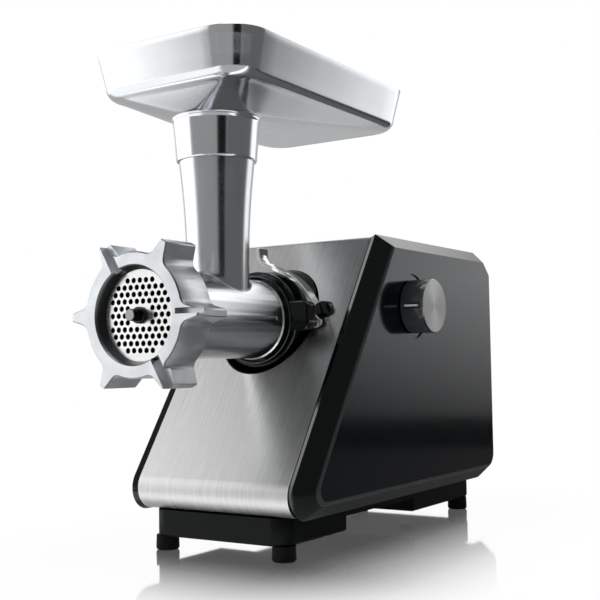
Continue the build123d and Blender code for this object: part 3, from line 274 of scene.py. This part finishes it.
def make_floor():
    """A white table top that mirrors the machine, fading with distance, under a clear sheet.

    A ray that left the table has crossed the sheet twice, which is how the sky knows to stay white for it.
    """
    corner_angles = [2 * math.pi * i / FLOOR_SEGMENTS for i in range(FLOOR_SEGMENTS)]
    rim = [(FLOOR_R * math.cos(a), FLOOR_R * math.sin(a), 0) for a in corner_angles]
    face = [list(range(FLOOR_SEGMENTS))]
    foot_low, foot_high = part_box("base_tray")
    foot_half = (foot_high - foot_low) / 2
    middle_y = (foot_low.y + foot_high.y) / 2
    floor, tree = stage_piece("table_top", rim, face, (0.0, middle_y, -FLOOR_DEPTH))
    sheet, sheet_tree = stage_piece("clear_sheet", rim, face, (0.0, middle_y, -SHEET_DEPTH))
    finish_with(sheet_tree, transparent(sheet_tree))
    x, y, _ = axes(tree)
    past_x, past_y = [
        calc(tree, "MAXIMUM", calc(tree, "SUBTRACT", calc(tree, "ABSOLUTE", axis), half), 0.0)
        for axis, half in ((x, foot_half.x), (y, foot_half.y))
    ]
    distance = length(tree, past_x, past_y)
    mirror = tree.nodes.new("ShaderNodeBsdfGlossy")
    mirror.inputs["Color"].default_value = grey(0.97)
    mirror.inputs["Roughness"].default_value = MIRROR_ROUGHNESS
    clear = transparent(tree)
    share = calc(tree, "MULTIPLY", smooth_step(tree, distance, FLOOR_FADE, 0.0), FLOOR_MIRROR)
    seen = mix_shader(tree, share, clear, mirror.outputs[0])
    rays = tree.nodes.new("ShaderNodeLightPath")
    # the table glows for glossy rays: painted light and painted shade in the machine's reflections
    mirrored = glow(tree, mirrored_level(tree, x, y, distance, rays.outputs["Glossy Depth"]))
    both = mix_shader(tree, rays.outputs["Is Glossy Ray"], seen, mirrored)
    # from below the table is clear, so that the underside can be looked at
    side = tree.nodes.new("ShaderNodeNewGeometry")
    finish_with(tree, mix_shader(tree, side.outputs["Backfacing"], both, clear))


def make_dark_card():
    """A low card behind the knob's side that only reflections show, less and less towards its top edge."""
    (x0, y0), (x1, y1) = CARD_ENDS
    corners = [(x0, y0, 0), (x1, y1, 0), (x1, y1, CARD_HEIGHT), (x0, y0, CARD_HEIGHT)]
    card, tree = stage_piece("dark_card", corners, [(0, 1, 2, 3)])
    height = axes(tree)[2]
    share = calc(tree, "SUBTRACT", CARD_SHARE, calc(tree, "MULTIPLY", height, CARD_SHARE / CARD_HEIGHT))
    rays = tree.nodes.new("ShaderNodeLightPath")
    in_mirrors = calc(tree, "MULTIPLY", rays.outputs["Is Glossy Ray"], share)
    finish_with(tree, mix_shader(tree, in_mirrors, transparent(tree), glow(tree, CARD_GLOW)))


# ---------------------------------------------------------------- materials
# Tones that depend on the place on a piece; lengths in metres, from the grinding axis or along it.
GRINDING_AXIS_Z = 163.0 * MM
STUD_R, STUD_FROM_Y = (6.0 * MM, 5.5 * MM), (-78.0 * MM, -80.0 * MM)
STUD_END_Y = (-91.0 * MM, -91.3 * MM)
SATIN_Z = (205.0 * MM, 188.0 * MM)
# where the nut gets painted shade in its mouth and a painted dark reflection on its front edge's rounding
NUT_MOUTH_R, NUT_MOUTH_Y = (32.4 * MM, 32.0 * MM), (-88.6 * MM, -87.0 * MM)
NUT_EDGE_TURN = ((0.97, 0.85), (0.15, 0.30))  # the front edge's rounding, by how far it faces forward
SOCKET_RING_R = (35.0 * MM, 34.0 * MM)
KNOB_X = (75.5 * MM, 76.5 * MM)


def from_grinding_axis(tree):
    """The distance from the grinding axis, and the place along it."""
    x, y, z = axes(tree)
    return length(tree, x, calc(tree, "SUBTRACT", z, GRINDING_AXIS_Z)), y


def retone(tree, shader, mask, colour):
    """Change the base colour to another where the mask is 1."""
    base = shader.inputs["Base Color"]
    under = base.links[0].from_socket if base.links else tuple(base.default_value)
    tree.links.new(mix_colour(tree, mask, under, colour), base)


def surface(name, colour, roughness, metallic=0.0, **more):
    """A material with one Principled shader; more sets its other sockets by name."""
    material = bpy.data.materials.new(name)
    material.use_nodes = True
    shader = material.node_tree.nodes["Principled BSDF"]
    shader.inputs["Base Color"].default_value = colour
    shader.inputs["Roughness"].default_value = roughness
    shader.inputs["Metallic"].default_value = metallic
    for socket, value in more.items():
        shader.inputs[socket.replace("_", " ")].default_value = value
    return material, material.node_tree, shader


def noise(tree, scale, detail=3.0, stretch=(1.0, 1.0, 1.0)):
    """Noise over the object's own coordinates; stretch above 1 makes the grain finer along that axis."""
    place = tree.nodes.new("ShaderNodeTexCoord")
    mapping = tree.nodes.new("ShaderNodeMapping")
    mapping.inputs["Scale"].default_value = stretch
    tree.links.new(place.outputs["Object"], mapping.inputs["Vector"])
    node = tree.nodes.new("ShaderNodeTexNoise")
    node.inputs["Scale"].default_value = scale
    node.inputs["Detail"].default_value = detail
    tree.links.new(mapping.outputs[0], node.inputs["Vector"])
    return node.outputs["Fac"]


def vary(tree, shader, socket, pattern, low, high):
    """Let a pattern move one of the shader's numbers between low and high."""
    node = tree.nodes.new("ShaderNodeMapRange")
    feed(tree, node.inputs["Value"], pattern)
    node.inputs["From Min"].default_value = 0.3
    node.inputs["From Max"].default_value = 0.7
    node.inputs["To Min"].default_value = low
    node.inputs["To Max"].default_value = high
    tree.links.new(node.outputs[0], shader.inputs[socket])


def tint(tree, shader, pattern, dark, light):
    """Let a pattern move the base colour between two colours."""
    share = smooth_step(tree, pattern, 0.3, 0.7)
    tree.links.new(mix_colour(tree, share, dark, light), shader.inputs["Base Color"])


def bump(tree, shader, pattern, depth, strength=1.0):
    """Raise the surface by a pattern, depth metres from its darkest to its lightest."""
    node = tree.nodes.new("ShaderNodeBump")
    node.inputs["Strength"].default_value = strength
    node.inputs["Distance"].default_value = depth
    tree.links.new(pattern, node.inputs["Height"])
    previous = shader.inputs["Normal"].links
    if previous:
        tree.links.new(previous[0].from_socket, node.inputs["Normal"])
    tree.links.new(node.outputs[0], shader.inputs["Normal"])


def polished_aluminium(name, level, roughness):
    """Polished sheet or casting: nearly a mirror, with a fine haze and slow ripples."""
    material, tree, shader = surface(name, grey(level, 0.03), roughness, 1.0)
    haze = noise(tree, 900.0, 4.0)
    vary(tree, shader, "Roughness", haze, roughness * 0.8, roughness * 1.25)
    tint(tree, shader, noise(tree, 40.0), grey(level * 0.96, 0.03), grey(level, 0.03))
    bump(tree, shader, noise(tree, 28.0, 1.0), 0.00004, 0.5)
    bump(tree, shader, haze, 0.000003, 0.6)
    return material


def head_casting(name):
    """Polished castings for the head and the auger: satin on the barrel, dark on the stud but for its end."""
    material = polished_aluminium(name, 0.80, 0.20)
    tree = material.node_tree
    shader = tree.nodes["Principled BSDF"]
    reach, along = from_grinding_axis(tree)
    satin = smooth_step(tree, axes(tree)[2], *SATIN_Z)
    rough = shader.inputs["Roughness"]
    tree.links.new(mix_number(tree, satin, rough.links[0].from_socket, 0.25), rough)
    stud = calc(tree, "MULTIPLY", smooth_step(tree, reach, *STUD_R), smooth_step(tree, along, *STUD_FROM_Y))
    retone(tree, shader, stud, grey(0.05, 0.03))
    retone(tree, shader, smooth_step(tree, along, *STUD_END_Y), grey(0.32, 0.02))
    return material


def blasted_aluminium(name):
    """Bead-blasted casting: bright, matte and finely pitted, with painted shade in the mouth and a painted
    dark reflection along the front edge.
    """
    material, tree, shader = surface(name, grey(0.80, 0.03), 0.36, 1.0)
    grit = noise(tree, 2600.0, 5.0)
    vary(tree, shader, "Roughness", grit, 0.30, 0.44)
    tint(tree, shader, noise(tree, 70.0, 4.0), grey(0.72, 0.03), grey(0.84, 0.03))
    bump(tree, shader, grit, 0.00002, 0.7)
    bump(tree, shader, noise(tree, 110.0, 2.0), 0.00008, 0.4)
    reach, along = from_grinding_axis(tree)
    # painted shade: the nut's mouth is coloured dark
    inside = smooth_step(tree, reach, *NUT_MOUTH_R)
    mouth = calc(tree, "MULTIPLY", inside, smooth_step(tree, along, *NUT_MOUTH_Y))
    retone(tree, shader, mouth, grey(0.11, 0.03))
    # painted dark reflection: the front edge's rounding is coloured darker
    forward = calc(tree, "MULTIPLY", axes(tree, "Normal")[1], -1.0)
    edge = calc(tree, "MULTIPLY", *[smooth_step(tree, forward, *turn) for turn in NUT_EDGE_TURN])
    retone(tree, shader, calc(tree, "MULTIPLY", edge, 0.75), grey(0.14, 0.03))
    return material


def ground_steel(name, level=0.84, roughness=0.24):
    """Surface-ground steel with very fine straight lines, and painted shade on the walls of its holes."""
    material, tree, shader = surface(name, grey(level), roughness, 1.0)
    lines = noise(tree, 260.0, 3.0, (1.0, 1.0, 14.0))
    vary(tree, shader, "Roughness", lines, roughness * 0.75, roughness * 1.3)
    tint(tree, shader, noise(tree, 55.0), grey(level * 0.93), grey(level))
    bump(tree, shader, lines, 0.000004, 0.6)
    # painted shade: the walls of the holes are coloured near-black
    hole_wall_shade = smooth_step(tree, calc(tree, "ABSOLUTE", axes(tree, "Normal")[1]), 0.6, 0.4)
    retone(tree, shader, hole_wall_shade, grey(0.03, 0.03))
    return material


def brushed_sheet(name):
    """Stainless sheet brushed up the slope: fine lines that vary across X only."""
    material, tree, shader = surface(name, grey(0.62), 0.34, 1.0, Anisotropic=0.75)
    fine = noise(tree, 300.0, 4.0, (20.0, 0.35, 0.35))
    broad = noise(tree, 60.0, 3.0, (12.0, 0.2, 0.2))
    lines = calc(tree, "ADD", calc(tree, "MULTIPLY", fine, 0.65), calc(tree, "MULTIPLY", broad, 0.35))
    vary(tree, shader, "Roughness", lines, 0.28, 0.42)
    tint(tree, shader, lines, grey(0.53), grey(0.70))
    bump(tree, shader, fine, 0.000012, 0.5)
    along = tree.nodes.new("ShaderNodeTangent")
    along.direction_type = "RADIAL"
    along.axis = "X"
    tree.links.new(along.outputs[0], shader.inputs["Tangent"])
    return material


def chrome(name):
    """Bright plating with the slightest haze, dark on the ring in the socket."""
    material, tree, shader = surface(name, grey(0.86, 0.01), 0.06, 1.0)
    vary(tree, shader, "Roughness", noise(tree, 500.0), 0.04, 0.11)
    bump(tree, shader, noise(tree, 90.0, 2.0), 0.00003, 0.4)
    reach, _ = from_grinding_axis(tree)
    retone(tree, shader, smooth_step(tree, reach, *SOCKET_RING_R), grey(0.10, 0.02))
    return material


def gloss_plastic(name, colour, roughness, **more):
    """Moulded gloss: a clear sheen over slow moulding ripples and fine dust-like haze."""
    material, tree, shader = surface(name, colour, roughness, **more)
    vary(tree, shader, "Roughness", noise(tree, 420.0, 4.0), roughness * 0.75, roughness * 1.5)
    bump(tree, shader, noise(tree, 22.0, 1.0), 0.00003, 0.5)
    return material


def grained_plastic(name, colour, roughness=0.5):
    """Moulded plastic with a fine spark-eroded grain."""
    material, tree, shader = surface(name, colour, roughness, Specular_IOR_Level=0.14)
    grain = noise(tree, 2200.0, 2.0)
    vary(tree, shader, "Roughness", grain, roughness * 0.85, roughness * 1.2)
    tint(tree, shader, noise(tree, 60.0), [c * 0.85 for c in colour[:3]] + [1], colour)
    bump(tree, shader, grain, 0.00005, 0.5)
    return material


def rubber(name):
    """Matte black rubber with a soft bloom."""
    material, tree, shader = surface(name, grey(0.004), 0.72, Specular_IOR_Level=0.15)
    bloom = noise(tree, 320.0, 5.0)
    vary(tree, shader, "Roughness", bloom, 0.62, 0.85)
    tint(tree, shader, bloom, grey(0.003), grey(0.007))
    bump(tree, shader, noise(tree, 1500.0), 0.00004, 0.5)
    return material


def turned_metal(name, level, centre, axis="X", roughness=0.26):
    """Metal with circular lathe lines round an axis through centre."""
    material, tree, shader = surface(
        name, grey(level, 0.01), roughness, 1.0, Anisotropic=0.85, Anisotropic_Rotation=0.25
    )
    place = tree.nodes.new("ShaderNodeTexCoord")
    shifted = tree.nodes.new("ShaderNodeMapping")
    shifted.inputs["Location"].default_value = [-c for c in centre]
    tree.links.new(place.outputs["Object"], shifted.inputs["Vector"])
    split = tree.nodes.new("ShaderNodeSeparateXYZ")
    tree.links.new(shifted.outputs[0], split.inputs[0])
    reach = length(tree, *[socket for socket in split.outputs if socket.name != axis])
    rings = tree.nodes.new("ShaderNodeTexNoise")
    rings.noise_dimensions = "1D"
    rings.inputs["Scale"].default_value = 2400.0
    rings.inputs["Detail"].default_value = 3.0
    tree.links.new(reach, rings.inputs["W"])
    vary(tree, shader, "Roughness", rings.outputs["Fac"], roughness * 0.8, roughness * 1.3)
    tint(tree, shader, rings.outputs["Fac"], grey(level * 0.86, 0.01), grey(level * 1.05, 0.01))
    bump(tree, shader, rings.outputs["Fac"], 0.000012, 0.5)
    radial = tree.nodes.new("ShaderNodeVectorMath")
    radial.operation = "CROSS_PRODUCT"
    tree.links.new(shifted.outputs[0], radial.inputs[0])
    radial.inputs[1].default_value = [1.0 if letter == axis else 0.0 for letter in "XYZ"]
    tree.links.new(radial.outputs[0], shader.inputs["Tangent"])
    return material


def machined_steel(name, level=0.45, roughness=0.32):
    """Machined steel with an oil film: fine speckle and slightly uneven tone."""
    material, tree, shader = surface(name, grey(level, 0.015), roughness, 1.0)
    speck = noise(tree, 700.0, 5.0)
    vary(tree, shader, "Roughness", speck, roughness * 0.75, roughness * 1.35)
    tint(tree, shader, noise(tree, 90.0, 4.0), grey(level * 0.82, 0.02), grey(level * 1.08, 0.01))
    bump(tree, shader, speck, 0.00001, 0.5)
    return material


def coloured_metal(name, dark, light, roughness=0.35, fine=(1.0, 1.0, 1.0)):
    """Bronze or copper: two tones of one metal, with a fine grain that can run along an axis."""
    material, tree, shader = surface(name, light, roughness, 1.0)
    grain = noise(tree, 600.0, 4.0, fine)
    vary(tree, shader, "Roughness", grain, roughness * 0.8, roughness * 1.3)
    tint(tree, shader, grain, dark, light)
    bump(tree, shader, grain, 0.00002, 0.6)
    return material


def die_casting(name):
    """Grey die casting with a rough skin."""
    material, tree, shader = surface(name, grey(0.48, 0.015), 0.45, 1.0)
    skin = noise(tree, 900.0, 5.0)
    vary(tree, shader, "Roughness", skin, 0.38, 0.58)
    tint(tree, shader, noise(tree, 50.0, 4.0), grey(0.40, 0.02), grey(0.54, 0.01))
    bump(tree, shader, skin, 0.00005, 0.6)
    return material


def laminations(name):
    """A stack of thin steel sheets along Y."""
    material, tree, shader = surface(name, grey(0.28, 0.02), 0.42, 1.0)
    place = tree.nodes.new("ShaderNodeTexCoord")
    wave = tree.nodes.new("ShaderNodeTexWave")
    wave.bands_direction = "Y"
    wave.inputs["Scale"].default_value = 300.0
    wave.inputs["Distortion"].default_value = 0.4
    tree.links.new(place.outputs["Object"], wave.inputs["Vector"])
    tint(tree, shader, wave.outputs["Fac"], grey(0.16, 0.03), grey(0.34, 0.02))
    vary(tree, shader, "Roughness", noise(tree, 400.0), 0.35, 0.55)
    bump(tree, shader, wave.outputs["Fac"], 0.00005, 0.6)
    return material


def winding(name):
    """Enamelled copper wire laid side by side."""
    material, tree, shader = surface(name, (0.52, 0.20, 0.06, 1.0), 0.3, 1.0)
    place = tree.nodes.new("ShaderNodeTexCoord")
    wave = tree.nodes.new("ShaderNodeTexWave")
    wave.bands_direction = "DIAGONAL"
    wave.inputs["Scale"].default_value = 220.0
    wave.inputs["Distortion"].default_value = 1.2
    tree.links.new(place.outputs["Object"], wave.inputs["Vector"])
    tint(tree, shader, wave.outputs["Fac"], (0.26, 0.08, 0.02, 1.0), (0.62, 0.26, 0.08, 1.0))
    bump(tree, shader, wave.outputs["Fac"], 0.0002, 0.8)
    return material


BLACK = (0.0010, 0.0034, 0.0034, 1.0)
SOFT_BLACK = (0.0012, 0.0030, 0.0032, 1.0)
SLATE = (0.0015, 0.0025, 0.0040, 1.0)


def trim_and_knob(name):
    """Black gloss on the trims, and a greyer one on the knob, which stands clear of the side."""
    material = gloss_plastic(name, BLACK, 0.10)
    tree = material.node_tree
    retone(tree, tree.nodes["Principled BSDF"], smooth_step(tree, axes(tree)[0], *KNOB_X), grey(0.045, 0.1))
    return material


def make_materials():
    """One material for each of the record's slots."""
    cap_low, cap_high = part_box("knob_cap")
    knob_centre = (cap_low + cap_high) / 2
    return {
        "pressed_aluminium": polished_aluminium("pressed_aluminium", 0.88, 0.15),
        "cast_aluminium": head_casting("cast_aluminium"),
        "nut_aluminium": blasted_aluminium("nut_aluminium"),
        "plate_steel": ground_steel("plate_steel"),
        # the cutter blade is coloured near-black: painted shade for its place inside the head, behind the
        # plate
        "blade_steel": machined_steel("blade_steel", 0.05, 0.4),
        "brushed_panel": brushed_sheet("brushed_panel"),
        "chromed": chrome("chromed"),
        "black_socket": gloss_plastic("black_socket", BLACK, 0.12),
        "black_plastic": grained_plastic("black_plastic", SOFT_BLACK, 0.42),
        "gloss_trim": trim_and_knob("gloss_trim"),
        "gloss_cover": gloss_plastic("gloss_cover", SLATE, 0.10, Specular_Tint=(0.90, 0.94, 1.0, 1.0)),
        "black_rubber": rubber("black_rubber"),
        "zinc_screws": machined_steel("zinc_screws", 0.62, 0.28),
        "knob_aluminium": turned_metal("knob_aluminium", 0.36, knob_centre),
        "white_mark": grained_plastic("white_mark", grey(0.82), 0.4),
        "switch_plastic": grained_plastic("switch_plastic", grey(0.06), 0.5),
        "board_green": gloss_plastic("board_green", (0.015, 0.09, 0.035, 1.0), 0.25),
        "capacitor_blue": gloss_plastic("capacitor_blue", (0.03, 0.07, 0.30, 1.0), 0.2),
        "gearbox_alloy": die_casting("gearbox_alloy"),
        "gear_steel": machined_steel("gear_steel"),
        "gear_nylon": grained_plastic("gear_nylon", (0.72, 0.68, 0.56, 1.0), 0.4),
        "bearing_bronze": coloured_metal(
            "bearing_bronze", (0.36, 0.22, 0.08, 1.0), (0.60, 0.40, 0.18, 1.0)
        ),
        "lamination_steel": laminations("lamination_steel"),
        "copper_windings": winding("copper_windings"),
        "commutator_copper": coloured_metal(
            "commutator_copper", (0.45, 0.18, 0.08, 1.0), (0.78, 0.38, 0.20, 1.0), 0.3, (1.0, 12.0, 1.0)
        ),
        "fan_plastic": grained_plastic("fan_plastic", grey(0.05), 0.45),
        "carbon": grained_plastic("carbon", grey(0.02), 0.6),
    }


# ---------------------------------------------------------------- CAD nodes
BEVELS = {  # width of the rounded edge on nodes that show, in millimetres
    "ring_nut": 0.9,
    "grinder_head": 0.4,
    "lock_lever": 0.9,
    "head_socket": 0.5,
    "base_tray": 0.5,
    "knob": 0.35,
    "knob_cap": 0.3,
    "right_cover": 0.7,
    "left_cover": 0.7,
    "right_trim": 0.35,
    "left_trim": 0.35,
    "rear_cover": 0.4,
    "hole_plate": 0.12,
    "auger": 0.3,
}
SHARP_ANGLE = math.radians(28)


def soften_edges(node, width):
    """Weld the node's split vertices and round its sharp edges, with modifiers only."""
    weld = node.modifiers.new("weld", "WELD")
    weld.merge_threshold = 0.000002
    bevel = node.modifiers.new("rounded_edges", "BEVEL")
    bevel.width = width * MM
    bevel.segments = 2
    bevel.limit_method = "ANGLE"
    bevel.angle_limit = SHARP_ANGLE
    bevel.harden_normals = True
    bevel.use_clamp_overlap = True


def dress_nodes(materials):
    """Give every CAD node its slot's material, and the ones that show their rounded edges."""
    slots = {part["node"]: part["material_slot"] for part in frame["record"]["subparts"]}
    for name, node in frame["nodes"].items():
        node.data.materials.clear()
        node.data.materials.append(materials[slots[name]])
        if name in BEVELS:
            soften_edges(node, BEVELS[name])


# ---------------------------------------------------------------- hopper tray
TRAY_CORNER_R = 27.0 * MM
TRAY_WALL_HEIGHT = 32.0 * MM
TRAY_DRAFT = 7.5 * MM
TRAY_EDGE_R = 9.0 * MM
TRAY_SHEET = 1.2 * MM
THROAT_Z = 302.4 * MM
SLEEVE_TOP_R = 30.7 * MM
SLEEVE_END_R = 28.2 * MM
TUBE_FIT_R = 26.72 * MM
THROAT_R = 24.1 * MM
CORNER_POINTS = 20
EDGE_POINTS = 12
EDGE_SHARE = math.radians(10)  # the part of the throat's circle, each way, that one side of the tray runs to


def rectangle_ring(half_x, half_y, corner_r, middle_y, z):
    """Points round a rounded rectangle: each corner's arc, then the side that follows it."""
    ring = []
    for quarter in range(4):
        start = quarter * math.pi / 2
        sx, sy = ((1, 1), (-1, 1), (-1, -1), (1, -1))[quarter]
        centre = Vector((sx * (half_x - corner_r), sy * (half_y - corner_r) + middle_y, z))
        for i in range(CORNER_POINTS + 1):
            angle = start + math.pi / 2 * i / CORNER_POINTS
            ring.append(centre + Vector((math.cos(angle), math.sin(angle), 0)) * corner_r)
        nx, ny = ((-1, 1), (-1, -1), (1, -1), (1, 1))[quarter]
        after = Vector((nx * (half_x - corner_r), ny * (half_y - corner_r) + middle_y, z))
        turn = start + math.pi / 2
        end = after + Vector((math.cos(turn), math.sin(turn), 0)) * corner_r
        ring += [ring[-1].lerp(end, i / EDGE_POINTS) for i in range(1, EDGE_POINTS)]
    return ring


def circle_ring(radius, z):
    """The same number of points round a circle on the tube's axis."""
    ring = []
    for quarter in range(4):
        start = quarter * math.pi / 2 + EDGE_SHARE
        span = math.pi / 2 - 2 * EDGE_SHARE
        angles = [start + span * i / CORNER_POINTS for i in range(CORNER_POINTS + 1)]
        angles += [start + span + 2 * EDGE_SHARE * i / EDGE_POINTS for i in range(1, EDGE_POINTS)]
        ring += [Vector((radius * math.cos(a), radius * math.sin(a), z)) for a in angles]
    return ring


def tray_skin(low, high, skin):
    """Rings of the tray's outer skin, or of its inner one, from the rim to the end of its bottom edge."""
    half_x, half_y = high.x, (high.y - low.y) / 2
    middle_y = (high.y + low.y) / 2
    edge_top = high.z - TRAY_WALL_HEIGHT + TRAY_EDGE_R
    edge_inset = TRAY_DRAFT * (high.z - edge_top) / TRAY_WALL_HEIGHT
    radius = TRAY_EDGE_R - skin
    levels = [(high.z - (high.z - edge_top) * i / 4, edge_inset * i / 4) for i in range(5)]
    levels[0] = (high.z - TRAY_SHEET / 2, 0.0)
    for step in range(1, 9):
        turn = math.radians(80) * step / 8
        levels.append((edge_top - radius * math.sin(turn), edge_inset + radius * (1 - math.cos(turn))))
    rings = []
    for z, inset in levels:
        inset += skin
        corner = TRAY_CORNER_R - inset * 0.8
        rings.append(rectangle_ring(half_x - inset, half_y - inset, corner, middle_y, z))
    return rings


def slope_rings(from_ring, to_ring, steps):
    """Rings between two rings, without the two themselves."""
    return [
        [a.lerp(b, step / steps) for a, b in zip(from_ring, to_ring)] for step in range(1, steps)
    ]


def ring_mesh(name, rings):
    """A closed tube of quads through the rings, whose last ring joins the first."""
    count = len(rings[0])
    points = [point for ring in rings for point in ring]
    faces = []
    for row in range(len(rings)):
        here, there = row * count, (row + 1) % len(rings) * count
        for i in range(count):
            j = (i + 1) % count
            faces.append((here + i, here + j, there + j, there + i))
    mesh = bpy.data.meshes.new(name)
    mesh.from_pydata(points, [], faces)
    mesh.validate()
    mesh.shade_smooth()
    piece = bpy.data.objects.new(name, mesh)
    bpy.context.scene.collection.objects.link(piece)
    return piece


def make_tray(material):
    """The pressed pan, its collar and its sleeve as one closed sheet-metal skin."""
    low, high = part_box("hopper_tray")
    outside = tray_skin(low, high, 0.0)
    inside = tray_skin(low, high, TRAY_SHEET)
    lip = SLEEVE_TOP_R + 0.7 * MM
    collar = [
        (lip + 1.6 * MM, THROAT_Z + 0.35 * MM),
        (lip + 0.5 * MM, THROAT_Z + 0.1 * MM),
        (lip + 0.05 * MM, THROAT_Z - 0.5 * MM),
        (lip, THROAT_Z - 1.2 * MM),
        (lip - 0.2 * MM, THROAT_Z - 1.9 * MM),
        (SLEEVE_TOP_R, THROAT_Z - 2.4 * MM),
        (SLEEVE_TOP_R - 0.15 * MM, THROAT_Z - 3.6 * MM),
        ((SLEEVE_TOP_R + SLEEVE_END_R) / 2, (THROAT_Z + low.z) / 2),
        (SLEEVE_END_R + 0.1 * MM, low.z + 1.4 * MM),
        (SLEEVE_END_R, low.z + 0.5 * MM),
        (SLEEVE_END_R - 0.4 * MM, low.z),
        (TUBE_FIT_R + 0.3 * MM, low.z),
        (TUBE_FIT_R, low.z + 0.4 * MM),
        (TUBE_FIT_R, THROAT_Z - 2.4 * MM),
        (THROAT_R, THROAT_Z - 2.4 * MM),
        (THROAT_R, THROAT_Z + 0.5 * MM),
        (THROAT_R + 0.8 * MM, THROAT_Z + TRAY_SHEET + 0.2 * MM),
    ]
    sleeve = [circle_ring(radius, z) for radius, z in collar]
    rim_top = [
        [point.lerp(other, share) + Vector((0, 0, TRAY_SHEET / 2 * math.sin(math.pi * share) ** 0.5))
         for point, other in zip(outside[0], inside[0])]
        for share in (0.15, 0.5, 0.85)
    ]
    rings = outside + slope_rings(outside[-1], sleeve[0], 10) + sleeve
    rings += slope_rings(sleeve[-1], inside[-1], 10) + inside[::-1] + rim_top[::-1]
    tray = ring_mesh("hopper_tray_skin", rings)
    tray.data.materials.append(material)
    tray.data.set_sharp_from_angle(angle=math.radians(50))
    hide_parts("hopper_tray")
    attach(tray, "tray")


# ---------------------------------------------------------------- make the scene
make_camera()
make_sky()
make_floor()
make_dark_card()
bpy.context.scene.view_settings.view_transform = "Standard"
slot_materials = make_materials()
dress_nodes(slot_materials)
make_tray(slot_materials["pressed_aluminium"])
